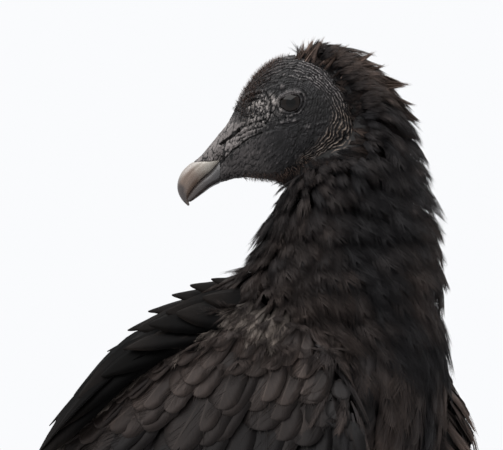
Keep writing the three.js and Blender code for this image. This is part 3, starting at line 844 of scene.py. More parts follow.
class VULTURE_OT_skin(bpy.types.Operator):
    """Bare folded head, hidden body under the plumage and scaled legs, as one skin"""

    bl_idname = "vulture.skin"
    bl_label = "Skin"

    def execute(self, context):
        settings = context.scene.vulture_skin
        bills = [bill_loft(UPPER_BILL, 2.2, shrink=0.35), bill_loft(LOWER_BILL, 2.0, shrink=0.35)]
        q, quads = remeshed([face_loft(), *bills], settings.head_grain)
        q = relaxed(q, quads, 8)
        normals = point_normals(q, quads)
        relief, _, _ = face_relief(q, normals, settings.fold_height)
        under_horn = ease(ahead_of_horn_edge(q), -0.4, 0.6)
        relief = relief * (1 - under_horn) - 0.7 * under_horn
        q = q + normals * relief[:, None]
        skin = add_mesh("skin", from_head(q), quads)
        points, body_quads, _ = envelope()
        points, body_quads = remeshed([(points, halved(body_quads))], settings.body_grain)
        steps = 6
        for _ in range(steps):
            points = points - point_normals(points, body_quads) * coat_depth(points)[:, None] / steps
            points = relaxed(points, body_quads, 3, keep_volume=False)
        cut_with(skin, add_mesh("body_skin", points, body_quads), "UNION")
        legs, leg_quads = remeshed([node_body(node) for node in LEG_NODES], settings.leg_grain)
        legs = relaxed(legs, leg_quads, 6)
        leg_normals = point_normals(legs, leg_quads)
        legs = legs + leg_normals * leg_relief(legs, leg_normals)[:, None]
        legs[:, 2] = np.maximum(legs[:, 2], 0)
        cut_with(skin, add_mesh("leg_skin", legs, leg_quads), "UNION")
        for side in SIDES.values():
            ball, faces = ball_body(EYE_RADIUS + SOCKET_GAP, 48, 32)
            ball = ball + from_head(np.array([[0, side * EYE_APART, 0]]))
            cut_with(skin, add_mesh("socket", ball, faces), "DIFFERENCE")
        self.mark(skin.data, settings)
        points, tris = mesh_arrays(skin.data)
        _kept["skin"] = BVHTree.FromPolygons(points.tolist(), tris.tolist())
        _kept["skin_faces"] = points, tris
        finish_piece(skin, skin_material(settings), "bare_skin", *FLESH, *LEG_NODES)
        return {"FINISHED"}

    def mark(self, mesh, settings):
        """Writes where the skin is crest or groove, cere, lore, crown, fold and leg, for its material."""
        mesh.shade_smooth()
        points, tris = mesh_arrays(mesh)
        normals = point_normals(points, tris)
        q = to_head(points)
        x, y, z = q.T
        _, crest, lore = face_relief(q, unit(normals @ HEAD_AXES), settings.fold_height)
        bare = is_bare(points, 0.3) * ease(np.abs(y), 40, 30) * (z > -50)
        on_leg = ease(points[:, 2], 100, 92)
        # Painted shade: the crests are lowered in the ear's hollow and along the hood's edge, where the skin
        # lies in shadow, so that the skin there is painted dark.
        border = ease(line_distance(q[:, [0, 2]], HOOD_LINE)[0], 3.5, 0.5)
        crest = (crest - 0.75 * spot(q, *EAR) - 0.9 * border) * bare
        side = line_side(q[:, [0, 2]])
        cere = ease(x - 0.55 * np.abs(z + 6), 24, 36) * ease(side, -0.6, 0.6)
        cere = np.maximum(cere, 0.27 * ease(x, 16, 40) * ease(side, 1, -2))
        crown = ease(z + 0.25 * x, 15, 23) * ease(x, 26, 14) * ease(x, -22, -6)
        zones = np.stack([cere * bare, lore * bare, crown * bare, np.maximum(bare, on_leg)], -1)
        count, strength, low, bead = fold_marks(q)
        strength = strength * bare * held(0.85 + 0.35 * bead) * (1 - 0.6 * border)
        set_attribute(mesh, "Relief", "FLOAT", crest + 2 * leg_relief(points, normals) * on_leg)
        set_attribute(mesh, "Legs", "FLOAT", on_leg)
        set_attribute(mesh, "Zones", "FLOAT_COLOR", zones)
        set_attribute(mesh, "Folds", "FLOAT_VECTOR", np.stack([count, strength, low], -1))


def ball_body(radius, around, rings):
    """A sphere with its poles along Y, as points and triangles."""
    lat = np.linspace(-math.pi / 2, math.pi / 2, rings + 2)[1:-1]
    centres = np.stack([0 * lat, radius * np.sin(lat), 0 * lat], -1)
    across = np.tile([0.0, 0.0, 1.0], (rings, 1))
    upright = np.tile([1.0, 0.0, 0.0], (rings, 1))
    points, faces = loft(centres, across, upright, radius * np.cos(lat), radius * np.cos(lat), around)
    points[-2:] = [[0, -radius, 0], [0, radius, 0]]
    return points @ HEAD_AXES.T, faces


# ---- eyes ----


def eye_material():
    """Moist eyeball: dark brown iris under a clear, very glossy cornea."""
    f = Finish("cornea_over_brown_iris")
    off_axis = f.add("Attribute", attribute_name="Pupil").outputs["Fac"]  # in mm
    place = f.add("TexCoord").outputs["Object"]
    streaks = f.add("TexNoise", Vector=place, Scale=per_metre(1.11), Detail=3.0)
    iris = f.add("Mix", streaks, linear("#070504"), linear("#130c08"))
    pupil_edge = f.add("MapRange", off_axis, 2.7, 3.1)
    iris_edge = f.add("MapRange", off_axis, 5.0, 5.8)
    colour = f.add("Mix", pupil_edge, linear("#020202"), iris)
    colour = f.add("Mix", iris_edge, colour, linear("#0c0908"))
    return f.finish(Base_Color=colour, Roughness=0.04, IOR=1.376, Specular_IOR_Level=0.27)


class VULTURE_OT_eyes(bpy.types.Operator):
    """Two glossy eyeballs with a slight bulge of the cornea"""

    bl_idname = "vulture.eyes"
    bl_label = "Eyes"

    def execute(self, context):
        material = eye_material()
        for name, side in SIDES.items():
            points, faces = ball_body(EYE_RADIUS, 64, 48)
            q = points @ HEAD_AXES
            off_axis = np.hypot(q[:, 0], q[:, 2])
            bulge = 0.35 * np.exp(-((off_axis / 4.6) ** 4)) * (q[:, 1] * side > 0)
            q = q + unit(q) * bulge[:, None]
            q[:, 1] += side * EYE_APART
            piece = add_mesh(f"eyeball_{name}", from_head(q), faces)
            set_attribute(piece.data, "Pupil", "FLOAT", off_axis)
            finish_piece(piece, material, "eye", f"eye_{name}")
        return {"FINISHED"}


# ---- bill ----


def horn_material(settings, lower):
    """Keratin of the bill: ivory grey at its edge, amber brown to the hook, satin, with fine growth lines."""
    f = Finish("bill_keratin_lower" if lower else "bill_keratin")
    horn = f.add("SeparateColor", f.add("Attribute", attribute_name="Horn")).outputs
    place = f.add("TexCoord").outputs["Object"]
    # Clouds 4.5 mm across, and growth lines 1.1 mm apart that lie level.
    cloud = f.add("TexNoise", Vector=place, Scale=per_metre(4.545), Detail=4.0, Roughness=0.6)
    level = f.add("Mapping", Vector=place, Scale=(1.0, 1.0, 3.0))
    lines = f.add("TexNoise", Vector=level, Scale=per_metre(1.11), Detail=2.0)
    shift = f.add("Math", f.add("Math", cloud, 0.5, operation="SUBTRACT"), 0.25)
    forward = f.add("Math", horn["Red"], shift, operation="ADD")
    if lower:
        share = f.add("MapRange", forward, 0.1, 0.9)
        colour = f.add("Mix", share, linear("#232325"), settings.dark)
    else:
        warmth = f.add("MapRange", forward, 0.2, 0.66)
        colour = f.add("Mix", warmth, settings.pale, settings.warm)
        hook = f.add("MapRange", forward, 0.8, 0.98)
        colour = f.add("Mix", hook, colour, settings.dark)
        # The culmen is greyer than the sides.
        culmen = f.add("MapRange", horn["Green"], 0.62, 0.9, 0.0, 0.65)
        colour = f.add("Mix", culmen, colour, linear("#85807b"))
    colour = f.add("Mix", f.add("Math", lines, 0.35), colour, linear("#3c352f"))
    bump = f.add("Bump", Strength=0.25, Distance=0.3 * MM, Height=lines)
    return f.finish(Base_Color=colour, Roughness=0.36, IOR=1.54, Specular_IOR_Level=0.5, Normal=bump)


class VULTURE_OT_bill(bpy.types.Operator):
    """Horn of the upper bill with its hook, and of the lower bill"""

    bl_idname = "vulture.bill"
    bl_label = "Bill"

    def execute(self, context):
        settings = context.scene.vulture_bill
        horns = [  # name, outline, squareness, how far it stands off the skin, slot
            ("upper", UPPER_BILL, 2.2, 0.15, "bill_horn"),
            ("lower", LOWER_BILL, 2.0, 0.1, "bill_dark_horn"),
        ]
        for name, outline, squareness, proud, slot in horns:
            points, faces = bill_loft(outline, squareness, 72, 140, shrink=-proud)
            piece = add_mesh(f"horn_{name}", points, faces)
            for low, high in ([(-90, 90), (0, 90)], [(-90, 0), (-90, 90)]):
                cut_with(piece, self.block(low, high), "DIFFERENCE")
            if name == "lower":
                cover, cover_faces = bill_loft(UPPER_BILL, 2.2, 72, 140, shrink=-0.3)
                cut_with(piece, add_mesh("cover", cover, cover_faces), "DIFFERENCE")
            self.shape(piece.data, name)
            finish_piece(piece, horn_material(settings, name == "lower"), slot, f"bill_{name}")
        return {"FINISHED"}

    def block(self, along, up):
        """A block in the horn edge's own turned frame."""
        corners = np.array([[x, y, z] for x in along for y in (-40.0, 40.0) for z in up], float)
        cos, sin = math.cos(HORN_SLOPE), math.sin(HORN_SLOPE)
        corners[:, [0, 2]] = corners[:, [0, 2]] @ np.array([[cos, sin], [-sin, cos]]) + HORN_EDGE
        sides = np.array([[0, 1, 3, 2], [4, 6, 7, 5], [0, 4, 5, 1], [2, 3, 7, 6], [0, 2, 6, 4], [1, 5, 7, 3]])
        return add_mesh("block", corners, sides)

    def shape(self, mesh, name):
        mesh.shade_smooth()
        q, tris = mesh_arrays(mesh)
        normals = point_normals(q, tris)
        forward = held((q[:, 0] - 55) / 30)
        edge = ahead_of_horn_edge(q)
        height = 0.5 + 0.5 * normals[:, 2]
        if name == "upper":
            # A shallow groove runs inside the culmen and down behind the hook.
            spine = through(UPPER_BILL, 60)
            ridge = np.stack([spine[:, 0], spine[:, 1] + 0.25 * spine[:, 3]], -1)
            gap, _ = line_distance(q[:, [0, 2]], ridge[20:])
            q = q - normals * (0.3 * hump(gap, 0.8) * ease(np.abs(normals[:, 1]), 0.2, 0.6))[:, None]
        q = q - normals * (0.35 * hump(edge, 0.7))[:, None]
        write(mesh.vertices, "co", from_head(q))
        set_attribute(mesh, "Horn", "FLOAT_COLOR", np.stack([forward, height, edge * 0, edge * 0 + 1], -1))


# ---- claws ----


def claw_material():
    """Claw keratin: nearly black, polished by use, greyer where it wears."""
    f = Finish("claw_keratin")
    place = f.add("TexCoord").outputs["Object"]
    # Worn clouds 2.9 mm across, and growth lines 0.7 mm apart.
    cloud = f.add("TexNoise", Vector=place, Scale=per_metre(2.857), Detail=4.0)
    lines = f.add("TexNoise", Vector=place, Scale=per_metre(0.667), Detail=2.0)
    worn = f.add("MapRange", cloud, 0.42, 0.68)
    colour = f.add("Mix", worn, linear("#1c1917"), linear("#4a423c"))
    bump = f.add("Bump", Strength=0.3, Distance=0.2 * MM, Height=lines)
    return f.finish(Base_Color=colour, Roughness=0.38, IOR=1.54, Normal=bump)


class VULTURE_OT_claws(bpy.types.Operator):
    """Four blunt claws on each foot"""

    bl_idname = "vulture.claws"
    bl_label = "Claws"

    def execute(self, context):
        material = claw_material()
        profile = [  # share of the claw's length, height, half width, half height (shares of the toe)
            [-0.12, 5.4, 0.3, 0.34], [0.03, 5.6, 0.42, 0.5], [0.14, 6.1, 0.5, 0.58], [0.4, 6.4, 0.42, 0.5],
            [0.72, 4.9, 0.3, 0.36], [0.94, 2.4, 0.16, 0.18], [1, 1.3, 0.05, 0.05],
        ]
        for name, side in SIDES.items():
            for toe, (heading, length, thick, claw) in TOES.items():
                rows = through(profile, 26)
                cos, sin = math.cos(math.radians(heading)), math.sin(math.radians(heading))
                run = length + rows[:, 0] * claw
                centres = np.stack([side * (STANCE + sin * run), BALL_OF_FOOT - cos * run, rows[:, 1]], -1)
                across = np.tile([side * cos, sin, 0.0], (len(rows), 1))
                upright = np.cross(unit(np.gradient(centres, axis=0)), across)
                wide, high = rows[:, 2] * thick, rows[:, 3] * thick
                points, faces = loft(centres, across, upright, wide, high, 20, 2.2)
                if side < 0:
                    faces = faces[:, ::-1]
                points[:, 2] = np.maximum(points[:, 2], 0.15)
                piece = add_mesh(f"talon_{toe}_{name}", points, faces)
                finish_piece(piece, material, "claw", f"claw_{toe}_{name}")
        return {"FINISHED"}


# ---- plumage: laying feathers over the envelope ----

# Neck stations: height, shift towards the nape.
NECK_LINE = np.array([
    [268, -6], [316, -5], [327, -3], [342, 2], [372, 4], [387, 6], [401, 10], [411, 18], [421, 19.5],
    [431, 17.5], [441, 14.5], [451, 8], [461, -1], [476, -15],
])
# Folded wing, from its front: y, top, bottom.
WING_LINE = np.array([
    [-50, 214, 206], [-44, 250, 186], [-28, 282, 168], [-4, 305, 152], [32, 317, 138], [70, 304, 127],
    [110, 279, 117], [150, 249, 111], [190, 219, 107], [225, 190, 107], [255, 161, 112], [268, 142, 120],
])


def samples(points, quads, count, rng):
    """Points spread at random over quads by area, with their normals."""
    corner = points[quads]
    area = np.linalg.norm(np.cross(corner[:, 2] - corner[:, 0], corner[:, 3] - corner[:, 1]), axis=1)
    pick = rng.choice(len(quads), count, p=area / area.sum())
    u, v = rng.random((2, count, 1))
    normals = point_normals(points, quads)[quads[pick]]
    c = corner[pick]
    weights = [(1 - u) * (1 - v), u * (1 - v), u * v, (1 - u) * v]
    place, normal = (sum(w * v[:, k] for k, w in enumerate(weights)) for v in (c, normals))
    return place, unit(normal)


def thinned(points, spacing):
    """Indices of points kept so that none is nearer another than its spacing."""
    tree = KDTree(len(points))
    for i, point in enumerate(points.tolist()):
        tree.insert(point, i)
    tree.balance()
    alive = np.ones(len(points), bool)
    kept = []
    for i, point in enumerate(points.tolist()):
        if alive[i]:
            kept.append(i)
            for _, other, _ in tree.find_range(point, spacing[i]):
                alive[other] = False
    return np.array(kept)


def onto(tree, points):
    """The nearest places on a surface, and their normals."""
    found = [tree.find_nearest(point)[:2] for point in points.tolist()]
    return np.array([place for place, _ in found]), np.array([normal for _, normal in found])


def lay(tree, roots, ups, flow, lengths, stray, steps=6):
    """Lines from the roots over the surface, the way that flow(points) points, each turned by its stray."""
    paths, normals = [roots], [ups]
    here, up = roots, ups
    cos, sin = np.cos(stray)[:, None], np.sin(stray)[:, None]
    for _ in range(steps):
        way = flow(here)
        way = unit(way - (way * up).sum(1, keepdims=True) * up)
        way = way * cos + np.cross(up, way) * sin
        here, normal = onto(tree, here + way * (lengths / steps)[:, None])
        up = unit(0.5 * up + 0.5 * normal)
        paths.append(here)
        normals.append(up)
    return np.stack(paths, 1), np.stack(normals, 1)


def depth_to_skin(points, ups, most):
    """How far under points of the envelope the skin lies."""
    if "skin" not in _kept:
        raise RuntimeError("make the skin before its plumage")
    hits = [_kept["skin"].ray_cast(p, n, 30.0)[3] for p, n in zip((points + ups).tolist(), (-ups).tolist())]
    return np.clip([most if hit is None else hit - 1 for hit in hits], 0, most)


def lifted(paths, ups, depth, proud, power):
    """Lines that start under the surface by depth and end over it by proud."""
    share = np.linspace(0, 1, paths.shape[1])
    height = -depth[:, None] * (1 - share) ** power + proud[:, None] * share**1.5
    return paths + ups * height[..., None]


def unwrap(points):
    """Place of skin points on an unwrap of the skin: neck, trunk, legs and each wing have their own tile."""
    x, y, z = points.T
    neck = np.stack([0.25 + np.arctan2(y, x) / (4.2 * math.pi), 0.55 + (z - 290) / 440], -1)
    trunk = np.stack([0.75 + np.arctan2(x, z - 220) / (4.2 * math.pi), 0.53 + (y + 75) / 800], -1)
    wing = np.stack([0.02 + (y + 60) / 900 + 0.5 * (x < 0), 0.22 + (z - 90) / 900], -1)
    turn = np.arctan2(y - 95, np.abs(x) - 45)
    leg = np.stack([0.25 + 0.5 * (x < 0) + turn / (4.5 * math.pi), 0.01 + z / 1200], -1)
    place = np.where((z > 300)[:, None] & (y < 60)[:, None], neck, trunk)
    place = np.where((np.abs(x) > 62)[:, None] & (z <= 300)[:, None], wing, place)
    return np.where((z < 140)[:, None] & (y < 130)[:, None] & (y > 55)[:, None], leg, place)


# Places drawn on the skin before they are thinned to the feathers' roots.
NECK_DRAWS, HOOD_DRAWS, BRISTLE_DRAWS, BODY_DRAWS = 90000, 40000, 120000, 70000


class Coat:
    """Feathers of one piece, gathered as arrays and built as one mesh."""

    PATCH = 0.0015  # half the side of a feather's patch on the skin's unwrap
    BARB_STEPS = 2

    def __init__(self, name):
        self.name = name
        self.points, self.faces, self.feather, self.vane, self.bake = [], [], [], [], []
        self.count = 0

    def add(self, points, quads, tris, tone, wear, t, a, run, wide, roots):
        """points: feathers by corners by 3; t and a: 0-1 along and -1..1 across; run and wide: both in mm."""
        feathers, corners = points.shape[:2]
        first = self.count + np.arange(feathers)[:, None, None] * corners
        self.points.append(points.reshape(-1, 3))
        for face in (quads, tris):
            if len(face):
                self.faces.append((face[None] + first).reshape(-1, face.shape[1]))
        tone, wear = (np.repeat(v[:, None], corners, 1) for v in (tone, wear))
        self.feather.append(np.stack([tone, wear, t, a * 0.5 + 0.5], -1).reshape(-1, 4))
        self.vane.append(np.stack([wide, run], -1).reshape(-1, 2) / 10)
        place = unwrap(roots)[:, None] + self.PATCH * np.stack([a, 2 * held(t) - 1], -1)
        self.bake.append(place.reshape(-1, 2))
        self.count += feathers * corners

    def vanes(
        self, paths, ups, width, tone, wear, outline, rng, *,
        rings, cup, thick, ragged, roll=0.0, lean=0.0, fine=True,
    ):
        """Whole vanes: closed blades with a raised shaft, cupped over their width."""
        feathers = len(paths)
        t = np.tile(1 - (1 - np.linspace(0, 1, rings + 1)) ** 1.5, (feathers, 1))
        centre, up = along_paths(paths, t), unit(along_paths(ups, t))
        way = unit(np.gradient(centre, axis=1))
        side = unit(np.cross(way, up))
        up = np.cross(side, way)
        turn = rng.normal(lean, roll, feathers)[:, None, None]
        side, up = side * np.cos(turn) + up * np.sin(turn), up * np.cos(turn) - side * np.sin(turn)
        a = np.array([-1, -0.45, 0, 0.45, 1, 0.45, 0, -0.45] if fine else [-1, 0, 1, 0])
        top = np.array([0, 1, 1.6, 1, 0, -1, -1.6, -1] if fine else [0, 1.6, 0, -1.6])
        around = len(a)
        worn = 1 - ragged * rng.exponential(1.0, (feathers, rings + 1, 2)).clip(0, 4)
        half = (0.5 * width[:, None] * outline(t))[..., None] * worn[..., (a > 0).astype(int)]
        lateral = half * a
        vertical = -cup * half * a**2 + thick * top
        points = side[:, :, None] * lateral[..., None] + up[:, :, None] * vertical[..., None]
        points = points + centre[:, :, None]
        points = np.concatenate([points.reshape(feathers, -1, 3), centre[:, :1], centre[:, -1:]], 1)
        run = np.linalg.norm(paths[:, -1] - paths[:, 0], axis=1)[:, None]
        ends = np.zeros((feathers, 2))
        wide = np.concatenate([lateral.reshape(feathers, -1), ends], 1)
        t = np.concatenate([np.repeat(t, around, 1), t[:, :1], t[:, -1:]], 1)
        a = np.concatenate([np.tile(a, (feathers, rings + 1)), ends], 1)
        self.add(points, *tube_faces(rings + 1, around), tone, wear, t, a, t * run, wide, paths[:, 0])

    def fringe(
        self, paths, ups, width, tone, wear, count, rng, *, strand, start, extent, cup, along=1.5, blunt=0.68
    ):
        """Loose barbs that leave the vane's shaft on both sides and fray its edge and tip."""
        feathers = len(paths)
        shape = (feathers, count, 1)
        length = np.linalg.norm(np.diff(paths, axis=1), axis=2).sum(1)[:, None, None]
        half = 0.5 * width[:, None, None]
        order = (np.arange(count)[None, :, None] + rng.random(shape)) / count
        t0 = start[0] + (start[1] - start[0]) * order
        side_of = np.where(np.arange(count) % 2 == 0, 1.0, -1.0)[None, :, None]
        reach = (extent[0] + (extent[1] - extent[0]) * rng.random(shape)) * (1.05 - 0.75 * t0**3)
        s = np.linspace(0, 1, self.BARB_STEPS + 1)
        lateral = side_of * half * (0.25 * (1 - t0) + (reach - 0.25 * (1 - t0)) * (1.35 * s - 0.35 * s**2))
        t = t0 + s * (half * (along + 1.1 * rng.random(shape)) * (1 - blunt * t0**2) + 1.0) / length
        flat_t = t.reshape(feathers, -1)
        centre, up = along_paths(paths, flat_t), unit(along_paths(ups, np.minimum(flat_t, 1)))
        way = unit(along_paths(paths, flat_t + 0.05) - along_paths(paths, flat_t - 0.05))
        side = unit(np.cross(way, up))
        lift = -cup * lateral**2 / half + (rng.random(shape) - 0.3) * 1.3 * s**1.5 + 0.15
        centre = centre + side * lateral.reshape(feathers, -1, 1) + up * lift.reshape(feathers, -1, 1)
        many = feathers * count
        lines, ups = centre.reshape(many, -1, 3), up.reshape(many, -1, 3)
        wide, t = lateral.reshape(many, -1), t.reshape(many, -1)
        each = np.repeat(np.arange(feathers), count)
        thick = 0.5 * strand * (0.7 + 0.6 * rng.random(many))
        tone = held(tone[each] + rng.normal(0, 0.06, many))
        run, a = t * length[each, 0], wide / half[each, 0]
        self.strands(lines, ups, thick, tone, wear[each], t, a, run, wide, paths[each, 0])

    def strands(self, lines, ups, half, tone, wear, t, a, run, wide, roots):
        """Tapering three-sided strands along lines, with marks for each station."""
        rings = lines.shape[1] - 1
        across = unit(np.cross(np.gradient(lines, axis=1), ups))[:, :-1]
        taper = half[:, None, None] * (1 - 0.6 * (np.arange(rings) / rings) ** 2)[None, :, None]
        body = lines[:, :-1]
        aside, over = across * taper, ups[:, :-1] * taper * 0.6
        corners = np.stack([body - aside, body + aside, body + over], 2)
        points = np.concatenate([corners.reshape(len(lines), -1, 3), lines[:, -1:]], 1)
        marks = (held(t), np.clip(a, -1, 1), run, wide)
        marks = (np.concatenate([np.repeat(v[:, :-1], 3, 1), v[:, -1:]], 1) for v in marks)
        self.add(points, *spike_faces(rings), tone, wear, *marks, roots)

    def finish(self, material, slot, *replaced):
        piece = add_mesh(self.name, np.concatenate(self.points), *self.faces)
        set_attribute(piece.data, "Feather", "FLOAT_COLOR", np.concatenate(self.feather))
        corners = read(piece.data.loops, "vertex_index", kind=np.int32)[:, 0]
        for name, values in (("OFBake", self.bake), ("Vane", self.vane)):
            write(piece.data.uv_layers.new(name=name).uv, "vector", np.concatenate(values)[corners])
        finish_piece(piece, material, slot, *replaced)


def spike_faces(rings):
    """Faces of a three-sided tapering strand that ends in a point."""
    k, j = (grid.ravel() for grid in np.meshgrid(3 * np.arange(rings - 1), np.arange(3), indexing="ij"))
    after = (j + 1) % 3
    quads = np.stack([k + after, k + j, k + 3 + j, k + 3 + after], -1)
    tip, last = 3 * rings, 3 * (rings - 1)
    tris = [[0, 1, 2]] + [[last + (n + 1) % 3, last + n, tip] for n in range(3)]
    return quads, np.array(tris)


def rounded(full=0.62, power=2.4, root=0.3):
    """Outline of a vane that is widest at full and round at its tip."""

    def shape(t):
        rise = root + (1 - root) * ease(t, 0, full * 0.7)
        return rise * np.sqrt(held(1 - np.clip((t - full) / (1 - full), 0, 0.985) ** power))

    return shape


def pointed(full=0.4, root=0.35):
    def shape(t):
        rise = root + (1 - root) * ease(t, 0, full)
        return rise * (1 - 0.93 * held((t - full) / (1 - full)) ** 1.7)

    return shape


def feather_material(
    name, black, faded, roughness=0.62, gloss=0.07, barb_depth=0.3, specks=False, shaft_share=0.3
):
    """Feather keratin dark with melanin: satin where fresh, brown and dull where the sun has bleached it."""
    f = Finish(name)
    marks = f.add("Attribute", attribute_name="Feather")
    tone, wear, t = f.add("SeparateColor", marks).outputs
    across = f.add("Math", marks.outputs["Alpha"], 2.0, -1.0, operation="MULTIPLY_ADD")
    across = f.add("Math", across, operation="ABSOLUTE")
    # Barbs lie 0.4 mm apart on a real vane, slanting from its shaft; they are drawn 0.9 mm apart so that they
    # show. The map named Vane counts centimetres.
    wide, run, _ = f.add("SeparateXYZ", f.add("UVMap", uv_map="Vane")).outputs
    slant = f.add("Math", f.add("Math", wide, operation="ABSOLUTE"), 1.1)
    slant = f.add("Math", f.add("Math", run, slant, operation="SUBTRACT"), 11.0)
    each = f.add("Math", tone, 40.0)
    grain = f.add("CombineXYZ", f.add("Math", wide, 1.2), slant, each)
    barb = f.add("TexNoise", Vector=grain, Scale=1.0, Detail=2.0, Roughness=0.55)
    # The sun bleaches most at the tip, in clouds 11 mm across.
    place = f.add("TexCoord").outputs["Object"]
    cloud = f.add("TexNoise", Vector=place, Scale=per_metre(11.11), Detail=4.0, Roughness=0.6)
    fade = f.add("Math", wear, f.add("Math", t, 0.7, 0.3, operation="MULTIPLY_ADD"))
    patchy = f.add("Math", f.add("Math", cloud, 0.5, operation="SUBTRACT"), f.add("Math", wear, 1.2))
    bleached = f.add("Math", fade, patchy, operation="ADD", use_clamp=True)
    base = f.add("Mix", bleached, black, faded)
    # Worn edges are paler, and so is the shaft.
    tip_wear = f.add("Math", wear, f.add("MapRange", t, 0.55, 0.98))
    rim = f.add("Math", f.add("MapRange", across, 0.7, 1.0, 0.25, 1.0), tip_wear)
    base = f.add("Mix", f.add("Math", rim, 0.5), base, linear("#50463f"))
    base = f.add("Mix", f.add("MapRange", barb, 0.35, 0.7, 0.0, 0.4), base, black)
    shaft = f.add("MapRange", across, 0.06, 0.02, 0.0, shaft_share)
    base = f.add("Mix", f.add("Math", shaft, wear), base, linear("#5e544e"))
    if specks:
        # Dried white droppings 1 mm across, on one in fourteen cells of 10 mm.
        cells = f.add("TexVoronoi", Vector=place, Scale=per_metre(10.53))
        picked = f.add("SeparateColor", cells.outputs["Color"])
        picked = f.add("Math", picked, 0.93, operation="GREATER_THAN")
        picked = f.add("Math", picked, f.add("MapRange", wear, 0.5, 0.62))
        speck = f.add("Math", f.add("MapRange", cells, 0.1, 0.06), picked)
        base = f.add("Mix", speck, base, linear("#a8a49e"))
    shade = f.add("MapRange", tone, To_Min=0.65, To_Max=1.35, interpolation_type="LINEAR")
    base = f.add("HueSaturation", Value=shade, Color=base)
    bump = f.add("Bump", Strength=barb_depth, Distance=0.4 * MM, Height=barb)
    return f.finish(Base_Color=base, Roughness=roughness, Specular_IOR_Level=gloss, IOR=1.55, Normal=bump)


# ---- neck and hood ----


# Where the loose feathers of the neck and breast end on the wing: y, z.
SHOULDER_EDGE = np.array([
    [-60, 205], [-49, 231], [-38, 245], [-29, 268], [-22.6, 285], [-5, 295.5], [14.6, 312.9], [30, 322],
])
ROW_SPACING = 14  # of the neck's loose rows


def neck_radius(points):
    """Level distance of points from the neck's axis, and the way out from it."""
    shift = np.interp(points[:, 2], NECK_LINE[:, 0], NECK_LINE[:, 1])
    out = (points - NAPE_WAY * shift[:, None]) * [1, 1, 0]
    return np.linalg.norm(out, axis=1), unit(out)


def head_share(points, near=44, far=80):
    """1 close to the back of the head, 0 away from it."""
    return ease(np.linalg.norm(to_head(points) - [-5, 0, -8], axis=1), far, near)


def neck_flow(points):
    """Down the neck with a slight twist, as the turned head wrings the skin, and away from the face."""
    _, out = neck_radius(points)
    down = -UP + 0.45 * np.cross(UP, out) + 0.1 * out
    near = head_share(points)[:, None]
    away = unit(points - from_head(np.array([[8.0, 0.0, -10.0]])))
    return down * (1 - 0.85 * near) + away * near


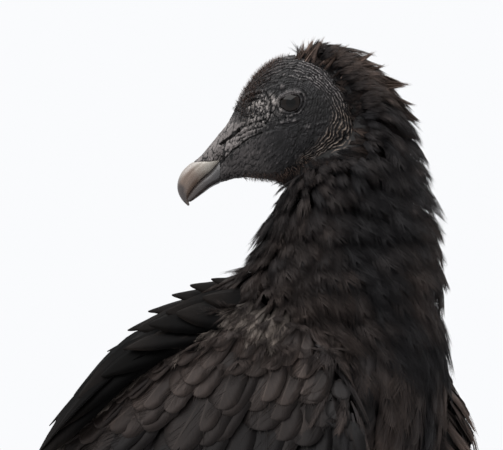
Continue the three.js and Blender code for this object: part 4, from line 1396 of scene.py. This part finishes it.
class VULTURE_OT_neck_feathers(bpy.types.Operator):
    """Loose, hair-like feathers of the hood and broad soft ones of the neck and its foot"""

    bl_idname = "vulture.neck_feathers"
    bl_label = "Neck feathers"

    # Tufts of the nape in the head's frame: tip x and z, degrees from ahead that they point, wear.
    TUFTS = [
        (-23, 30.5, 120, 0.7), (-29, 30.5, 127, 0.75), (-36, 28.5, 135, 0.75), (-47.4, 18.6, 160, 0.9),
        (-59.4, 7.6, 170, 0.9), (-62.5, -2.3, 184, 0.9), (-72, -19.1, 202, 0.8), (-69, -31.5, 215, 0.5),
        (-69, -42.2, 225, 0.3), (-63, -52, 232, 0.15), (-60, -63, 240, 0.1), (-58, -74, 246, 0.1),
    ]
    IN_A_TUFT = 10

    def execute(self, context):
        settings = context.scene.vulture_plumage
        rng = np.random.default_rng(settings.seed)
        material = feather_material("loose_feather", settings.black, settings.faded)
        coats = [Coat(f"neck_feathers_{piece + 1}") for piece in range(4)]
        hood = Coat("hood_feathers")
        self.neck(settings, rng, coats)
        self.hood_edge(rng, hood)
        self.crest(rng, hood)
        for coat in coats:
            coat.finish(material, "body_feathers")
        hood.finish(feather_material("hood_feather", settings.black, linear("#68574e")), "body_feathers")
        return {"FINISHED"}

    def neck(self, settings, rng, coats):
        """Everything that hangs from the hood and the neck."""
        points, quads, tree = envelope()
        roots, ups = samples(points, quads, NECK_DRAWS, rng)
        q = to_head(roots)
        gap, _ = line_distance(q[:, [0, 2]], HOOD_LINE)
        keep = ~(is_bare(roots) & (gap > 1.5)) & (roots[:, 2] > 288) & (neck_radius(roots)[0] < 86)
        roots, ups, q, gap = (v[keep] for v in (roots, ups, q, gap))
        near, low = head_share(roots, 40, 58), ease(roots[:, 2], 350, 305)
        border = near * ease(gap, 9, 1)
        throat = ease(q[:, 0], 4, 20) * ease(q[:, 2], -36, -46) * ease(roots[:, 2], 335, 350)
        closer = 0.4 * near + 0.2 * border - 0.2 * low + 0.3 * throat
        kept = thinned(roots, settings.neck_spacing * (1 - closer))
        roots, ups, q, near, low, border = (v[kept] for v in (roots, ups, q, near, low, border))
        # The feathers gather in loose rows.
        row = roots[:, 2] + 6 * noise(roots, 40, 71)
        shift = (np.round(row / ROW_SPACING) * ROW_SPACING - row) * 0.95 * (1 - near)
        roots, ups = onto(tree, roots + UP * shift[:, None])
        n = len(roots)
        front = ease(q[:, 0], -36, -16) * ease(q[:, 2], 6, 22)
        length = (26 + 7 * low - 2 * near) * (1 - 0.4 * border) * (1 - 0.55 * front)
        length = length * rng.uniform(0.9, 1.1, n)
        on_wing = (np.abs(roots[:, 0]) > 48) & (roots[:, 2] < 330)
        room = (roots[:, 2] - np.interp(roots[:, 1], *SHOULDER_EDGE.T)) / 0.85
        length = np.where(on_wing, np.clip(room, 9, length), length)
        spiky = (rng.random(n) < 0.04 + 0.08 * near) & (front < 0.2) & ~on_wing
        stray = 0.22 * noise(roots, 24, 51) + rng.normal(0, 0.11, n)
        paths, normals = lay(tree, roots, ups, neck_flow, length * (1 + 0.2 * spiky), stray)
        crest = ease(q[:, 2], -28, 18) * ease(q[:, 0], -20, -42)
        proud = rng.uniform(1.5, 3.4 - 1.2 * near, n) - 3.5 * front + spiky * rng.uniform(1.5, 3 + 2 * near)
        paths = lifted(paths, normals, depth_to_skin(roots, ups, 16) + 2.5 * front, proud, 2.3)
        paths = paths - normals * (1.4 + 1.8 * front + 5.0 * near * crest)[:, None, None]
        width = (18 + 3 * low - 11 * near) * rng.uniform(0.85, 1.15, n) * (1 + spiky * (0.3 - 0.5 * near))
        nape = ease(roots @ NAPE_WAY, 15, 45) * ease(roots[:, 2], 300, 330)
        tone = held(rng.normal(0.45, 0.05, n) + 0.3 * crest + 0.28 * nape)
        under_jaw = ease(q[:, 0], 0, 32) * ease(roots[:, 2], 395, 350)
        wear = 0.02 + 0.95 * crest + 0.25 * under_jaw + 0.15 * nape
        wear = held(wear + 0.12 * noise(roots, 22, 41) + rng.normal(0, 0.05, n))
        for piece, coat in enumerate(coats):
            mine = np.arange(n) % len(coats) == piece
            for group, outline, along, blunt in (
                (near > 0.35, pointed(0.3, 0.5), 3.6, 0.5), (near <= 0.35, pointed(0.5, 0.45), 2.2, 0.68),
            ):
                args = [v[mine & group] for v in (paths, normals, width, tone, wear)]
                # The inner vane under the barbs gets a lower tone, painted shade under them, and is less faded.
                inner = [args[0] - 0.7 * args[1], args[1], 0.6 * args[2], args[3] - 0.15, 0.6 * args[4]]
                coat.vanes(*inner, outline, rng, rings=6, thick=0.1, ragged=0.12, roll=0.12, cup=0.12)
                coat.fringe(
                    *args, settings.neck_barbs, rng,
                    strand=0.28, start=(0.25, 0.98), extent=(0.5, 1.1), cup=0.15, along=along, blunt=blunt,
                )

    def hood_edge(self, rng, coat):
        """Short dense feathers that come straight out of the skin along the border of the bare face."""
        points, tris = _kept["skin_faces"]
        q = to_head(points[tris[:, 0]])
        gap, _ = line_distance(q[:, [0, 2]], HOOD_LINE)
        bare = is_bare(points[tris[:, 0]])
        throat = ~bare & (q[:, 2] < -38) & (q[:, 2] > -66) & (q[:, 0] > -8)
        band = tris[np.where(bare, gap < 3.0, gap < 9) | throat]
        roots, ups = samples(points, np.concatenate([band, band[:, 2:]], 1), HOOD_DRAWS, rng)
        q = to_head(roots)
        gap, _ = line_distance(q[:, [0, 2]], HOOD_LINE)
        kept = thinned(roots, 2.0 + 0.14 * gap)
        roots, ups, gap = roots[kept], ups[kept], gap[kept]
        n = len(roots)
        crown = ease(q[kept][:, 2], 8, 24) * ease(q[kept][:, 0], -32, -18)
        length = (7.5 + 0.6 * np.minimum(gap, 9)) * (1 - 0.6 * crown) * rng.uniform(0.75, 1.3, n)
        paths, normals = lay(_kept["skin"], roots, ups, neck_flow, length, rng.normal(0, 0.22, n), steps=4)
        proud = (rng.uniform(0.9, 2.3, n) + 0.14 * np.minimum(gap, 9)) * (1 - 0.5 * crown)
        paths = lifted(paths, normals, np.full(n, 0.4), proud, 1.5)
        tone, wear = held(rng.normal(0.32, 0.07, n)), held(rng.normal(0.12, 0.12, n))
        args = (paths, normals, rng.uniform(3.2, 5.2, n), tone, wear)
        # The inner vane under the barbs gets a lower tone: painted shade under them.
        inner = (paths - 0.3 * normals, normals, 0.6 * args[2], tone - 0.1, wear)
        shape = pointed(0.35, 0.7)
        coat.vanes(*inner, shape, rng, rings=4, thick=0.08, ragged=0.1, roll=0.25, cup=0.15, fine=False)
        coat.fringe(*args, 14, rng, strand=0.26, start=(0.1, 0.95), extent=(0.6, 1.5), cup=0.1, along=3.2)

    def crest(self, rng, coat):
        """Tufts of brown, pointed feathers that stand out from the nape."""
        tips = np.repeat(np.array(self.TUFTS), self.IN_A_TUFT, 0)
        n = len(tips)
        aside = rng.uniform(-9, 9, n)
        slope = np.radians(tips[:, 2] + rng.normal(0, 6, n))
        way = np.stack([np.cos(slope), -0.012 * aside, np.sin(slope)], -1)
        tip = np.stack([tips[:, 0] + 0.04 * aside**2, aside, tips[:, 1]], -1)
        tip = tip - way * rng.uniform(0, 7, (n, 1))
        root = tip - way * rng.uniform(26, 32, (n, 1)) + [0, 0, -2.0]
        back = np.stack([-np.sin(slope), 0.1 * aside, np.cos(slope)], -1)
        back = np.where(back[:, 2:] < 0, -back, back)
        back = unit(back @ HEAD_AXES.T)
        paths, ups = blade_paths(from_head(root), from_head(tip), back, np.full(n, 2.0), 6)
        width, tone = rng.uniform(5, 8, n), rng.uniform(0.4, 0.65, n)
        args = (paths, ups, width, tone, held(tips[:, 3] + rng.normal(0, 0.15, n)))
        coat.vanes(*args, pointed(0.35, 0.5), rng, rings=6, thick=0.1, ragged=0.1, roll=0.5, cup=0.15)
        coat.fringe(*args, 26, rng, strand=0.24, start=(0.3, 0.97), extent=(0.6, 1.1), cup=0.15, along=2.6)


class VULTURE_OT_bristles(bpy.types.Operator):
    """Short hair-like feathers of forehead, crown and chin"""

    bl_idname = "vulture.bristles"
    bl_label = "Bristles"

    def execute(self, context):
        settings = context.scene.vulture_plumage
        rng = np.random.default_rng(settings.seed + 6)
        points, quads = remeshed([face_loft(), bill_loft(UPPER_BILL, 2.2, shrink=0.35)], 1.0)
        q, ups = samples(points, quads, BRISTLE_DRAWS, rng)
        x, y, z = q.T
        crown = ease(z + 0.75 * x - 0.35 * np.abs(y), 16, 27) * ease(x, 34, 27) * ease(x, -14, -6)
        chin = 0.6 * ease(-ups[:, 2], 0.5, 0.9) * ease(x, 48, 36) * ease(x, 0, 12) * (z < -20)
        share = crown + chin
        keep = rng.random(len(q)) < share
        q, ups, share, crown = q[keep], ups[keep], share[keep], crown[keep]
        kept = thinned(q, np.full(len(q), settings.bristle_spacing) / (0.5 + 0.5 * share))
        q, ups, crown = q[kept], ups[kept], crown[kept]
        n = len(q)
        on_crown = crown[:, None]
        back = np.array([-0.9, 0.0, 0.3]) * on_crown + np.array([-0.5, 0.0, -1.0]) * (1 - on_crown)
        back = unit(back - (back * ups).sum(1, keepdims=True) * ups)
        way = unit(ups * rng.uniform(1.2, 3.2, (n, 1)) + back + rng.normal(0, 0.22, (n, 3)))
        length = rng.uniform(1.5, 4.3, (n, 1, 1))
        roots = from_head(q)
        way, ups = ((v @ HEAD_AXES.T)[:, None] for v in (way, ups))
        s = np.linspace(0, 1, 3)
        lines = (way * s[:, None] - ups * 0.15 * s[:, None] ** 2) * length
        lines = roots[:, None] + lines - ups * 0.1
        t = np.tile(s, (n, 1))
        coat = Coat("head_bristles")
        tone, wear = held(rng.normal(0.5, 0.2, n)), rng.uniform(0.3, 1.0, n)
        ups, half = np.repeat(ups, len(s), 1), np.full(n, 0.25)
        coat.strands(lines, ups, half, tone, wear, t, 0 * t, t, 0 * t, roots)
        material = feather_material("bristle", linear("#14100f"), linear("#5c463d"), barb_depth=0.0)
        coat.finish(material, "body_feathers")
        return {"FINISHED"}


# ---- breast, belly, back and thighs ----


def body_flow(points):
    """Down the breast and thighs, and backwards over back, flanks and belly."""
    front = ease(points[:, 1], 15, -35)[:, None]
    thigh = (ease(points[:, 2], 150, 115) * ease(points[:, 1], 135, 110))[:, None]
    down = held(front + thigh)
    spread = front * (ease(points[:, 0], 42, 62) * ease(points[:, 2], 160, 200))[:, None]
    downwards = np.array([0.0, 0.25, -1.0]) + spread * [0.6, -0.3, 0.1]
    return down * downwards + (1 - down) * np.array([0.0, 1.0, -0.32])


class VULTURE_OT_body_feathers(bpy.types.Operator):
    """Contour feathers of breast, belly, back, rump and thighs, which hang over the fronts of the wings"""

    bl_idname = "vulture.body_feathers"
    bl_label = "Body feathers"

    def execute(self, context):
        settings = context.scene.vulture_plumage
        rng = np.random.default_rng(settings.seed + 1)
        points, quads, tree = envelope()
        roots, ups = samples(points, quads, BODY_DRAWS, rng)
        on_neck = (roots[:, 2] > 298) & (neck_radius(roots)[0] < 80)
        wing = [BVHTree.FromPolygons(*(v.tolist() for v in node_body(f"wing_{side}"))) for side in SIDES]
        off_wing = np.array([min(t.find_nearest(p)[3] for t in wing) for p in roots.tolist()])
        hang = np.interp(roots[:, 2], [200, 239, 268, 297, 315], [-54, -45, -29, -22, 6])
        drape = (off_wing < 3) & (roots[:, 1] < np.where(roots[:, 0] < 0, hang, -20)) & (roots[:, 2] > 150)
        keep = ~on_neck & ((off_wing > 2.5) | drape) & (to_head(roots)[:, 2] < -48)
        roots, ups, drape = roots[keep], ups[keep], drape[keep] * 1.0
        back = ease(roots[:, 2], 215, 260) * ease(roots[:, 1], 0, 40)
        leg = ease(roots[:, 2], 150, 110) * ease(roots[:, 1], 140, 110)
        kept = thinned(roots, settings.body_spacing * (1 + 0.1 * back - 0.35 * leg - 0.25 * drape))
        roots, ups, back, leg, drape = (v[kept] for v in (roots, ups, back, leg, drape))
        n = len(roots)
        length = (38 + 6 * back - 15 * leg) * rng.uniform(0.82, 1.15, n)
        stray = 0.15 * noise(roots, 30, 52) + rng.normal(0, 0.12, n)
        paths, normals = lay(tree, roots, ups, body_flow, length, stray)
        proud = rng.uniform(0.3, 2.8, n) + 2.0 * drape + 1.5 * drape * (roots[:, 0] > 0)
        paths = lifted(paths, normals, depth_to_skin(roots, ups, 8) * (1 - 0.8 * drape), proud, 2.3)
        width = (22 - 11 * leg - 13 * drape) * rng.uniform(0.85, 1.15, n)
        breast = ease(roots[:, 1], 0, -30)
        far = drape * (roots[:, 0] > 0)
        tone = held(rng.normal(0.6, 0.07, n) + 0.4 * far)
        wear = 0.12 + 0.15 * breast - 0.12 * back + 0.25 * noise(roots, 25, 43)
        wear = held(wear - 0.1 * drape + 0.9 * far + rng.normal(0, 0.08, n))
        material = feather_material("contour_feather", settings.black, settings.faded)
        pieces = 3
        for piece in range(pieces):
            mine = np.arange(n) % pieces == piece
            args = [v[mine] for v in (paths, normals, width, tone, wear)]
            coat = Coat(f"body_feathers_{piece + 1}")
            # The inner vane under the barbs gets a lower tone, painted shade under them, and is less faded.
            inner = [args[0] - 0.6 * args[1], args[1], 0.75 * args[2], args[3] - 0.1, 0.8 * args[4]]
            coat.vanes(*inner, rounded(0.5, 1.7), rng, rings=7, thick=0.12, ragged=0.08, roll=0.08, cup=0.13)
            coat.fringe(
                *args, settings.body_barbs, rng,
                strand=0.3, start=(0.3, 0.99), extent=(0.6, 1.15), cup=0.13, along=2.0,
            )
            coat.finish(material, "body_feathers")
        return {"FINISHED"}


# ---- wings ----


def wing_edges(y):
    """Heights of the folded wing's upper and lower edges."""
    return [np.interp(y, WING_LINE[:, 0], WING_LINE[:, k]) for k in (1, 2)]


def wing_roots(tree, side, y, z):
    """Where level rays from outside meet the wing, its normals there, and which rays meet it."""
    hits = [tree.ray_cast((side * 200.0, b, c), (-side, 0, 0)) for b, c in zip(y.tolist(), z.tolist())]
    found = np.array([hit[0] is not None for hit in hits])
    roots, ups = (np.array([hit[k] for hit in hits if hit[0] is not None]) for k in (0, 1))
    return roots, ups, found


def wing_flow(points):
    """Down at the wing's front, turning long way back behind, and flatter along its upper and lower edges."""
    top, bottom = wing_edges(points[:, 1])
    share = (top - points[:, 2]) / (top - bottom)
    angle = np.interp(points[:, 1], [-50, 20, 66, 100, 136, 200], [80, 75, 60, 49, 39, 24])
    angle = angle - 22 * ease(share, 0.45, 0.8) * ease(points[:, 1], 0, 60) - 14 * ease(share, 0.1, 0.0)
    slope = np.radians(angle)
    return np.stack([0 * slope, np.cos(slope), -np.sin(slope)], -1)


class VULTURE_OT_wing_feathers(bpy.types.Operator):
    """Rows of lesser, median and greater coverts and the secondaries under them"""

    bl_idname = "vulture.wing_feathers"
    bl_label = "Wing coverts"

    # Rows from the shoulder down: share of the wing's depth, spacing, width, length.
    ROWS = [
        (0.0, 6.5, 12, 34), (0.03, 8.5, 16, 25), (0.07, 9.5, 19, 28), (0.115, 11, 22, 32),
        (0.165, 12.5, 25, 36), (0.225, 14, 28, 42), (0.295, 15, 30, 52), (0.4, 15.5, 30, 68),
        (0.53, 14.5, 28, 78), (0.68, 14, 28, 76), (0.84, 13, 24, 62),
    ]

    def execute(self, context):
        settings = context.scene.vulture_plumage
        fresh = linear("#141212")
        material = feather_material("wing_covert", fresh, settings.wing_brown, 0.58, 0.1, specks=True)
        _, _, tree = envelope()
        for name, side in SIDES.items():
            rng = np.random.default_rng(settings.seed + 2)
            coat = Coat(f"wing_feathers_{name}")
            for number, (share, spacing, width, length) in enumerate(self.ROWS):
                y = np.arange(-54 + spacing * (number % 2) / 2, 258, spacing)
                y = y + rng.normal(0, spacing * 0.2, len(y))
                top, bottom = wing_edges(y)
                z = top - (share + rng.normal(0, 0.018, len(y))) * (top - bottom) - 1.5 * (share < 0.02)
                roots, ups, found = wing_roots(tree, side, y, z)
                size, n = np.clip((top - bottom) / 150, 0.55, 1.1)[found], len(roots)
                lengths = length * size * rng.uniform(0.84, 1.2, n)
                paths, normals = lay(tree, roots, ups, wing_flow, lengths, rng.normal(0, 0.12, n))
                proud = rng.uniform(0.2, 1.0, n) + 0.4 * (number < 8)
                paths = lifted(paths, normals, np.full(n, 2.6 + 1.6 * (number > 7)), proud, 1.9)
                widths = width * (0.5 + 0.5 * size) * rng.uniform(0.88, 1.1, n)
                tone = rng.normal(0.55, 0.13, n) - 0.065 * number - 0.4 * ease(roots[:, 1], -8, -30)
                wear = 0.9 - 0.12 * number + 0.25 * noise(roots, 30, 44) + rng.normal(0, 0.12, n)
                wear = wear - 0.5 * ease(roots[:, 1], -14, -34)
                args = (paths, normals, widths, held(tone), held(wear))
                outline, barbs = (rounded(0.7, 2.3, 0.5), 10) if number else (pointed(0.5), 26)
                shape = {"rings": 10, "cup": 0.03, "thick": 0.12, "ragged": 0.03}
                coat.vanes(*args, outline, rng, **shape, roll=0.03, lean=0.08 * side)
                coat.fringe(*args, barbs, rng, strand=0.3, start=(0.6, 0.97), extent=(0.85, 1.0), cup=0.05)
            coat.finish(material, "wing_feathers")
            self.frayed(name, side, tree, rng)
        return {"FINISHED"}

    def frayed(self, name, side, tree, rng):
        """Curled, grey, frayed feathers along the wing's upper edge."""
        y = rng.uniform(6, 190, 120)
        roots, ups, _ = wing_roots(tree, side, y, wing_edges(y)[0] - rng.uniform(0.5, 11, len(y)))
        n = len(roots)
        lengths, stray = rng.uniform(13, 24, n), rng.normal(0.1, 0.28, n)
        paths, normals = lay(tree, roots, ups, wing_flow, lengths, stray, steps=4)
        paths = lifted(paths, normals, np.full(n, 0.5), rng.uniform(1.6, 3.6, n), 1.2)
        width, tone = rng.uniform(6, 11, n), held(rng.normal(0.5, 0.15, n))
        args = (paths, normals, width, tone, rng.uniform(0.3, 1.0, n))
        coat = Coat(f"frayed_feathers_{name}")
        coat.vanes(*args, pointed(0.5, 0.4), rng, rings=6, thick=0.1, ragged=0.12, roll=0.3, cup=0.15)
        coat.fringe(*args, 26, rng, strand=0.26, start=(0.2, 0.97), extent=(0.7, 1.2), cup=0.15)
        coat.finish(feather_material("frayed_covert", linear("#1b1816"), linear("#625a54")), "wing_feathers")


# ---- shoulders, flight feathers and tail ----


def shoulder_line(y):
    """Height of the line that the scapulars' tips draw along the back."""
    return 323 - 0.0055 * np.maximum(0, y - 53) ** 2


def blade_paths(roots, tips, back, bow, steps=8):
    """Bowed lines from roots to tips, with the way that their upper faces look."""
    share = np.linspace(0, 1, steps + 1)[None, :, None]
    bend = bow[:, None, None] * np.sin(math.pi * share)
    paths = roots[:, None] * (1 - share) + tips[:, None] * share + back[:, None] * bend
    return paths, np.repeat(back[:, None], steps + 1, 1)


class VULTURE_OT_scapulars(bpy.types.Operator):
    """Glossy black shoulder feathers that shingle down the back, their tips standing off it"""

    bl_idname = "vulture.scapulars"
    bl_label = "Scapulars"

    # Lanes from the spine outwards: x, height against the shoulder line, first tip's y, feathers.
    LANES = [
        (30, -14, 62, 7), (40, -11, 66, 7), (48, -9, 64, 7),
        (56, -7, 70, 6), (63, -12, 84, 6), (69, -19, 100, 6),
    ]
    LAST_TIP, FEATHER_RUN, ROOT_STEP = 184, 62, 24.4  # along y
    VANE = {"rings": 16, "cup": 0.1, "thick": 0.18}
    # Tips that stand off the back: y, z.
    STANDING = [
        (78, 326.5), (93, 322.6), (106, 316.4), (123, 306), (137.8, 294), (152.5, 280.5), (194.7, 232.9),
    ]

    def execute(self, context):
        settings = context.scene.vulture_plumage
        shades = linear("#040404"), linear("#0d0b0b")
        material = feather_material("scapular", *shades, 0.75, 0.02, shaft_share=0.0)
        for name, side in SIDES.items():
            rng = np.random.default_rng(settings.seed + 3)
            coat = Coat(f"scapular_feathers_{name}")
            for x, drop, first, n in self.LANES:
                tip_y = np.linspace(first, self.LAST_TIP, n)
                count = np.maximum(0, (tip_y - self.FEATHER_RUN) / self.ROOT_STEP)
                root_y = np.maximum(8, tip_y - self.FEATHER_RUN - 4 * count)
                tips = np.stack([np.full(n, side * float(x)), tip_y, shoulder_line(tip_y) + drop], -1)
                roots = np.stack([np.full(n, side * (x - 6.0)), root_y, shoulder_line(root_y) - 7 + drop], -1)
                tips = tips + rng.normal(0, 1.5, tips.shape)
                back = np.tile(unit([side * (0.4 + 0.012 * (x - 20)), 0.4, 0.74]), (n, 1))
                paths, ups = blade_paths(roots, tips, back, 3 + 0.6 * count)
                width = np.full(n, 30.0) * rng.uniform(0.88, 1.1, n)
                tone = held(rng.normal(0.45, 0.14, n))
                wear = held(rng.normal(0.3, 0.12, n))
                args = (paths, ups, width, tone, wear)
                coat.vanes(*args, pointed(0.5, 0.6), rng, **self.VANE, ragged=0.025, roll=0.12)
            y, z = np.array(self.STANDING).T
            n = len(y)
            tips = np.stack([np.full(n, side * 30.0), y, z], -1)
            roots = np.stack([np.full(n, side * 24.0), y - 66, shoulder_line(y - 66) - 7], -1)
            back = np.tile(unit([side * 0.5, 0.35, 0.78]), (n, 1))
            paths, ups = blade_paths(roots, tips, back, np.where(y > 160, 5.0, 0.01 * (y - 40)))
            args = (paths, ups, rng.uniform(20, 23, n), np.full(n, 0.45), np.full(n, 0.3))
            coat.vanes(*args, pointed(0.55, 0.6), rng, **self.VANE, ragged=0.02, roll=0.06)
            coat.finish(material, "body_feathers", f"scapulars_{name}")
        return {"FINISHED"}


class VULTURE_OT_flight_feathers(bpy.types.Operator):
    """Closed fans of long wing feathers behind the folded wings, and the tail"""

    bl_idname = "vulture.flight_feathers"
    bl_label = "Flight and tail feathers"

    FAN, TAIL = 9, 12  # feathers of each wing's fan, and of the tail
    VANE = {"rings": 20, "thick": 0.3, "ragged": 0.015}

    def execute(self, context):
        settings = context.scene.vulture_plumage
        material = feather_material("flight_feather", linear("#0b0a0a"), linear("#2a2320"), 0.6, 0.06)
        for name, side in SIDES.items():
            rng = np.random.default_rng(settings.seed + 4)
            back = unit([side * 0.85, 0.2, 0.48])
            root, tip = np.array([side * 55.0, 204, 136]), np.array([side * 26.0, 336, 117])
            line = unit(tip - root)
            across = np.cross(line, back)
            across = across if across[2] > 0 else -across
            count = np.arange(self.FAN)[:, None] * 6 / self.FAN
            step = across * 8.4 * count + back * count
            roots, tips = root + step - line * 26, tip + step - line * 15 * count
            backs = np.tile(back, (self.FAN, 1))
            paths, ups = blade_paths(roots, tips, backs, np.full(self.FAN, 3.0))
            coat = Coat(f"primaries_{name}")
            width, wear = np.full(self.FAN, 29.0), np.full(self.FAN, 0.35)
            args = (paths, ups, width, rng.uniform(0.35, 0.6, self.FAN), wear)
            coat.vanes(*args, rounded(0.72, 2.0), rng, **self.VANE, cup=0.12)
            coat.finish(material, "wing_feathers", f"flight_feathers_{name}")
        rng = np.random.default_rng(settings.seed + 5)
        half = self.TAIL // 2
        out = np.tile(np.arange(half), 2)[:, None].astype(float)
        side = np.repeat([1.0, -1.0], half)[:, None]
        tips = np.concatenate([side * (5.5 + 7.4 * out), 350 - 0.5 * out**2, 84 - 1.1 * out], 1)
        roots = np.concatenate([side * (2 + 1.6 * out), 236 + 0 * out, 147 - 0.9 * out], 1)
        back = unit(np.concatenate([side * 0.03 * out, 0.5 + 0 * out, 0.86 + 0 * out], 1))
        # The middle feathers lie on top.
        lift = back * (0.9 * (half - out))
        paths, ups = blade_paths(roots + lift, tips + lift, back, np.full(self.TAIL, 2.0))
        coat = Coat("tail_feathers")
        width, wear = np.full(self.TAIL, 23.0), np.full(self.TAIL, 0.35)
        args = (paths, ups, width, rng.uniform(0.35, 0.6, self.TAIL), wear)
        coat.vanes(*args, rounded(0.86, 2.6, 0.45), rng, **self.VANE, cup=0.1)
        coat.finish(material, "wing_feathers", "tail")
        return {"FINISHED"}


# ---- stage ----


class VULTURE_OT_stage(bpy.types.Operator):
    """Pale floor, soft studio light and the camera"""

    bl_idname = "vulture.stage"
    bl_label = "Stage"

    CAMERA_AZIMUTH = math.radians(-62)  # round from straight ahead, towards the bird's right
    CAMERA_DISTANCE = 3.0
    VIEW_WIDTH = 0.3119  # that the camera spans at the bird
    VIEW_MIDDLE = np.array([-27.2, 51.25, 360.0])  # in the bird's own frame, mm

    def execute(self, context):
        settings = context.scene.vulture_stage
        scene = context.scene
        scene.view_settings.view_transform = "Standard"
        world = bpy.data.worlds.new("studio")
        world.use_nodes = True
        back = world.node_tree.nodes["Background"]
        back.inputs["Color"].default_value = (*settings.backdrop, 1)
        back.inputs["Strength"].default_value = 1.0
        scene.world = world
        self.floor(settings)
        middle = (self.VIEW_MIDDLE + HOME) * MM
        turn = self.CAMERA_AZIMUTH
        out = np.array([math.sin(turn), -math.cos(turn), 0.0])
        right = np.array([math.cos(turn), math.sin(turn), 0.0])
        lights = [  # name, place round the bird (towards camera, right, up), width, depth, power
            ("overhead_softbox", (0.7, -0.6, 2.6), 5.0, 4.0, 230.0),
            ("back_softbox", (-1.6, 1.0, 2.0), 1.6, 1.2, 40.0),
        ]
        for name, (ahead, aside, high), width, depth, power in lights:
            lamp = bpy.data.lights.new(name, "AREA")
            lamp.shape = "RECTANGLE"
            lamp.size, lamp.size_y = width, depth
            lamp.energy = power
            lamp_object = bpy.data.objects.new(name, lamp)
            scene.collection.objects.link(lamp_object)
            place = middle + out * ahead + right * aside + UP * (high - middle[2])
            lamp_object.location = place
            lamp_object.rotation_euler = self.aim(place, middle)
        camera = bpy.data.cameras.new("camera")
        camera.sensor_width = 36.0
        camera.lens = camera.sensor_width * self.CAMERA_DISTANCE / self.VIEW_WIDTH
        camera.clip_end = 100.0
        camera_object = bpy.data.objects.new("camera", camera)
        scene.collection.objects.link(camera_object)
        camera_object.location = middle + out * self.CAMERA_DISTANCE
        camera_object.rotation_euler = self.aim(camera_object.location, middle)
        scene.camera = camera_object
        return {"FINISHED"}

    def aim(self, place, target):
        return (Vector(target) - Vector(place)).to_track_quat("-Z", "Y").to_euler()

    def floor(self, settings):
        around, radius = 96, settings.floor_radius
        turn = np.arange(around) / around * 2 * math.pi
        rings = [np.stack([r * np.cos(turn), r * np.sin(turn), np.full(around, z)], -1) for r, z in
                 ((radius, -0.02), (radius, -0.004), (radius - 0.004, 0.0))]
        points = np.concatenate(rings + [[[0, 0, -0.02], [0, 0, 0]]])
        quads, tris = tube_faces(3, around)
        piece = add_mesh("floor", points, quads, tris)
        piece.data.shade_flat()
        # Matt painted board: no sheen, faint mottling of the paint 20 mm across.
        f = Finish("matt_painted_board")
        place = f.add("TexCoord").outputs["Object"]
        mottle = f.add("TexNoise", Vector=place, Scale=per_metre(20), Detail=2.0)
        tint = tuple(min(1.0, c * 1.03) for c in settings.floor)
        colour = f.add("Mix", mottle, settings.floor, tint)
        piece.data.materials.append(f.finish(Base_Color=colour, Roughness=0.9, Specular_IOR_Level=0.15))


# ---- the add-on ----

PIECES = [
    VULTURE_OT_skin, VULTURE_OT_eyes, VULTURE_OT_bill, VULTURE_OT_claws, VULTURE_OT_neck_feathers,
    VULTURE_OT_bristles, VULTURE_OT_body_feathers, VULTURE_OT_wing_feathers, VULTURE_OT_scapulars,
    VULTURE_OT_flight_feathers, VULTURE_OT_stage,
]
SETTINGS = {
    "vulture_skin": VultureSkinSettings,
    "vulture_bill": VultureBillSettings,
    "vulture_plumage": VulturePlumageSettings,
    "vulture_stage": VultureStageSettings,
}


class VULTURE_PT_panel(bpy.types.Panel):
    """Lists the vulture's settings and its pieces"""

    bl_idname = "VULTURE_PT_panel"
    bl_label = "Black vulture"
    bl_space_type = "VIEW_3D"
    bl_region_type = "UI"
    bl_category = "Vulture"

    def draw(self, context):
        for name, group in SETTINGS.items():
            box = self.layout.box()
            for key in group.__annotations__:
                box.prop(getattr(context.scene, name), key)
        for operator in PIECES:
            self.layout.operator(operator.bl_idname)


CLASSES = [*SETTINGS.values(), *PIECES, VULTURE_PT_panel]


def register():
    for one in CLASSES:
        bpy.utils.register_class(one)
    for name, group in SETTINGS.items():
        setattr(bpy.types.Scene, name, PointerProperty(type=group))


def unregister():
    for name in SETTINGS:
        delattr(bpy.types.Scene, name)
    for one in reversed(CLASSES):
        bpy.utils.unregister_class(one)


def main():
    register()
    for operator in PIECES:
        group, name = operator.bl_idname.split(".")
        getattr(getattr(bpy.ops, group), name)()


if __name__ == "__main__":
    main()
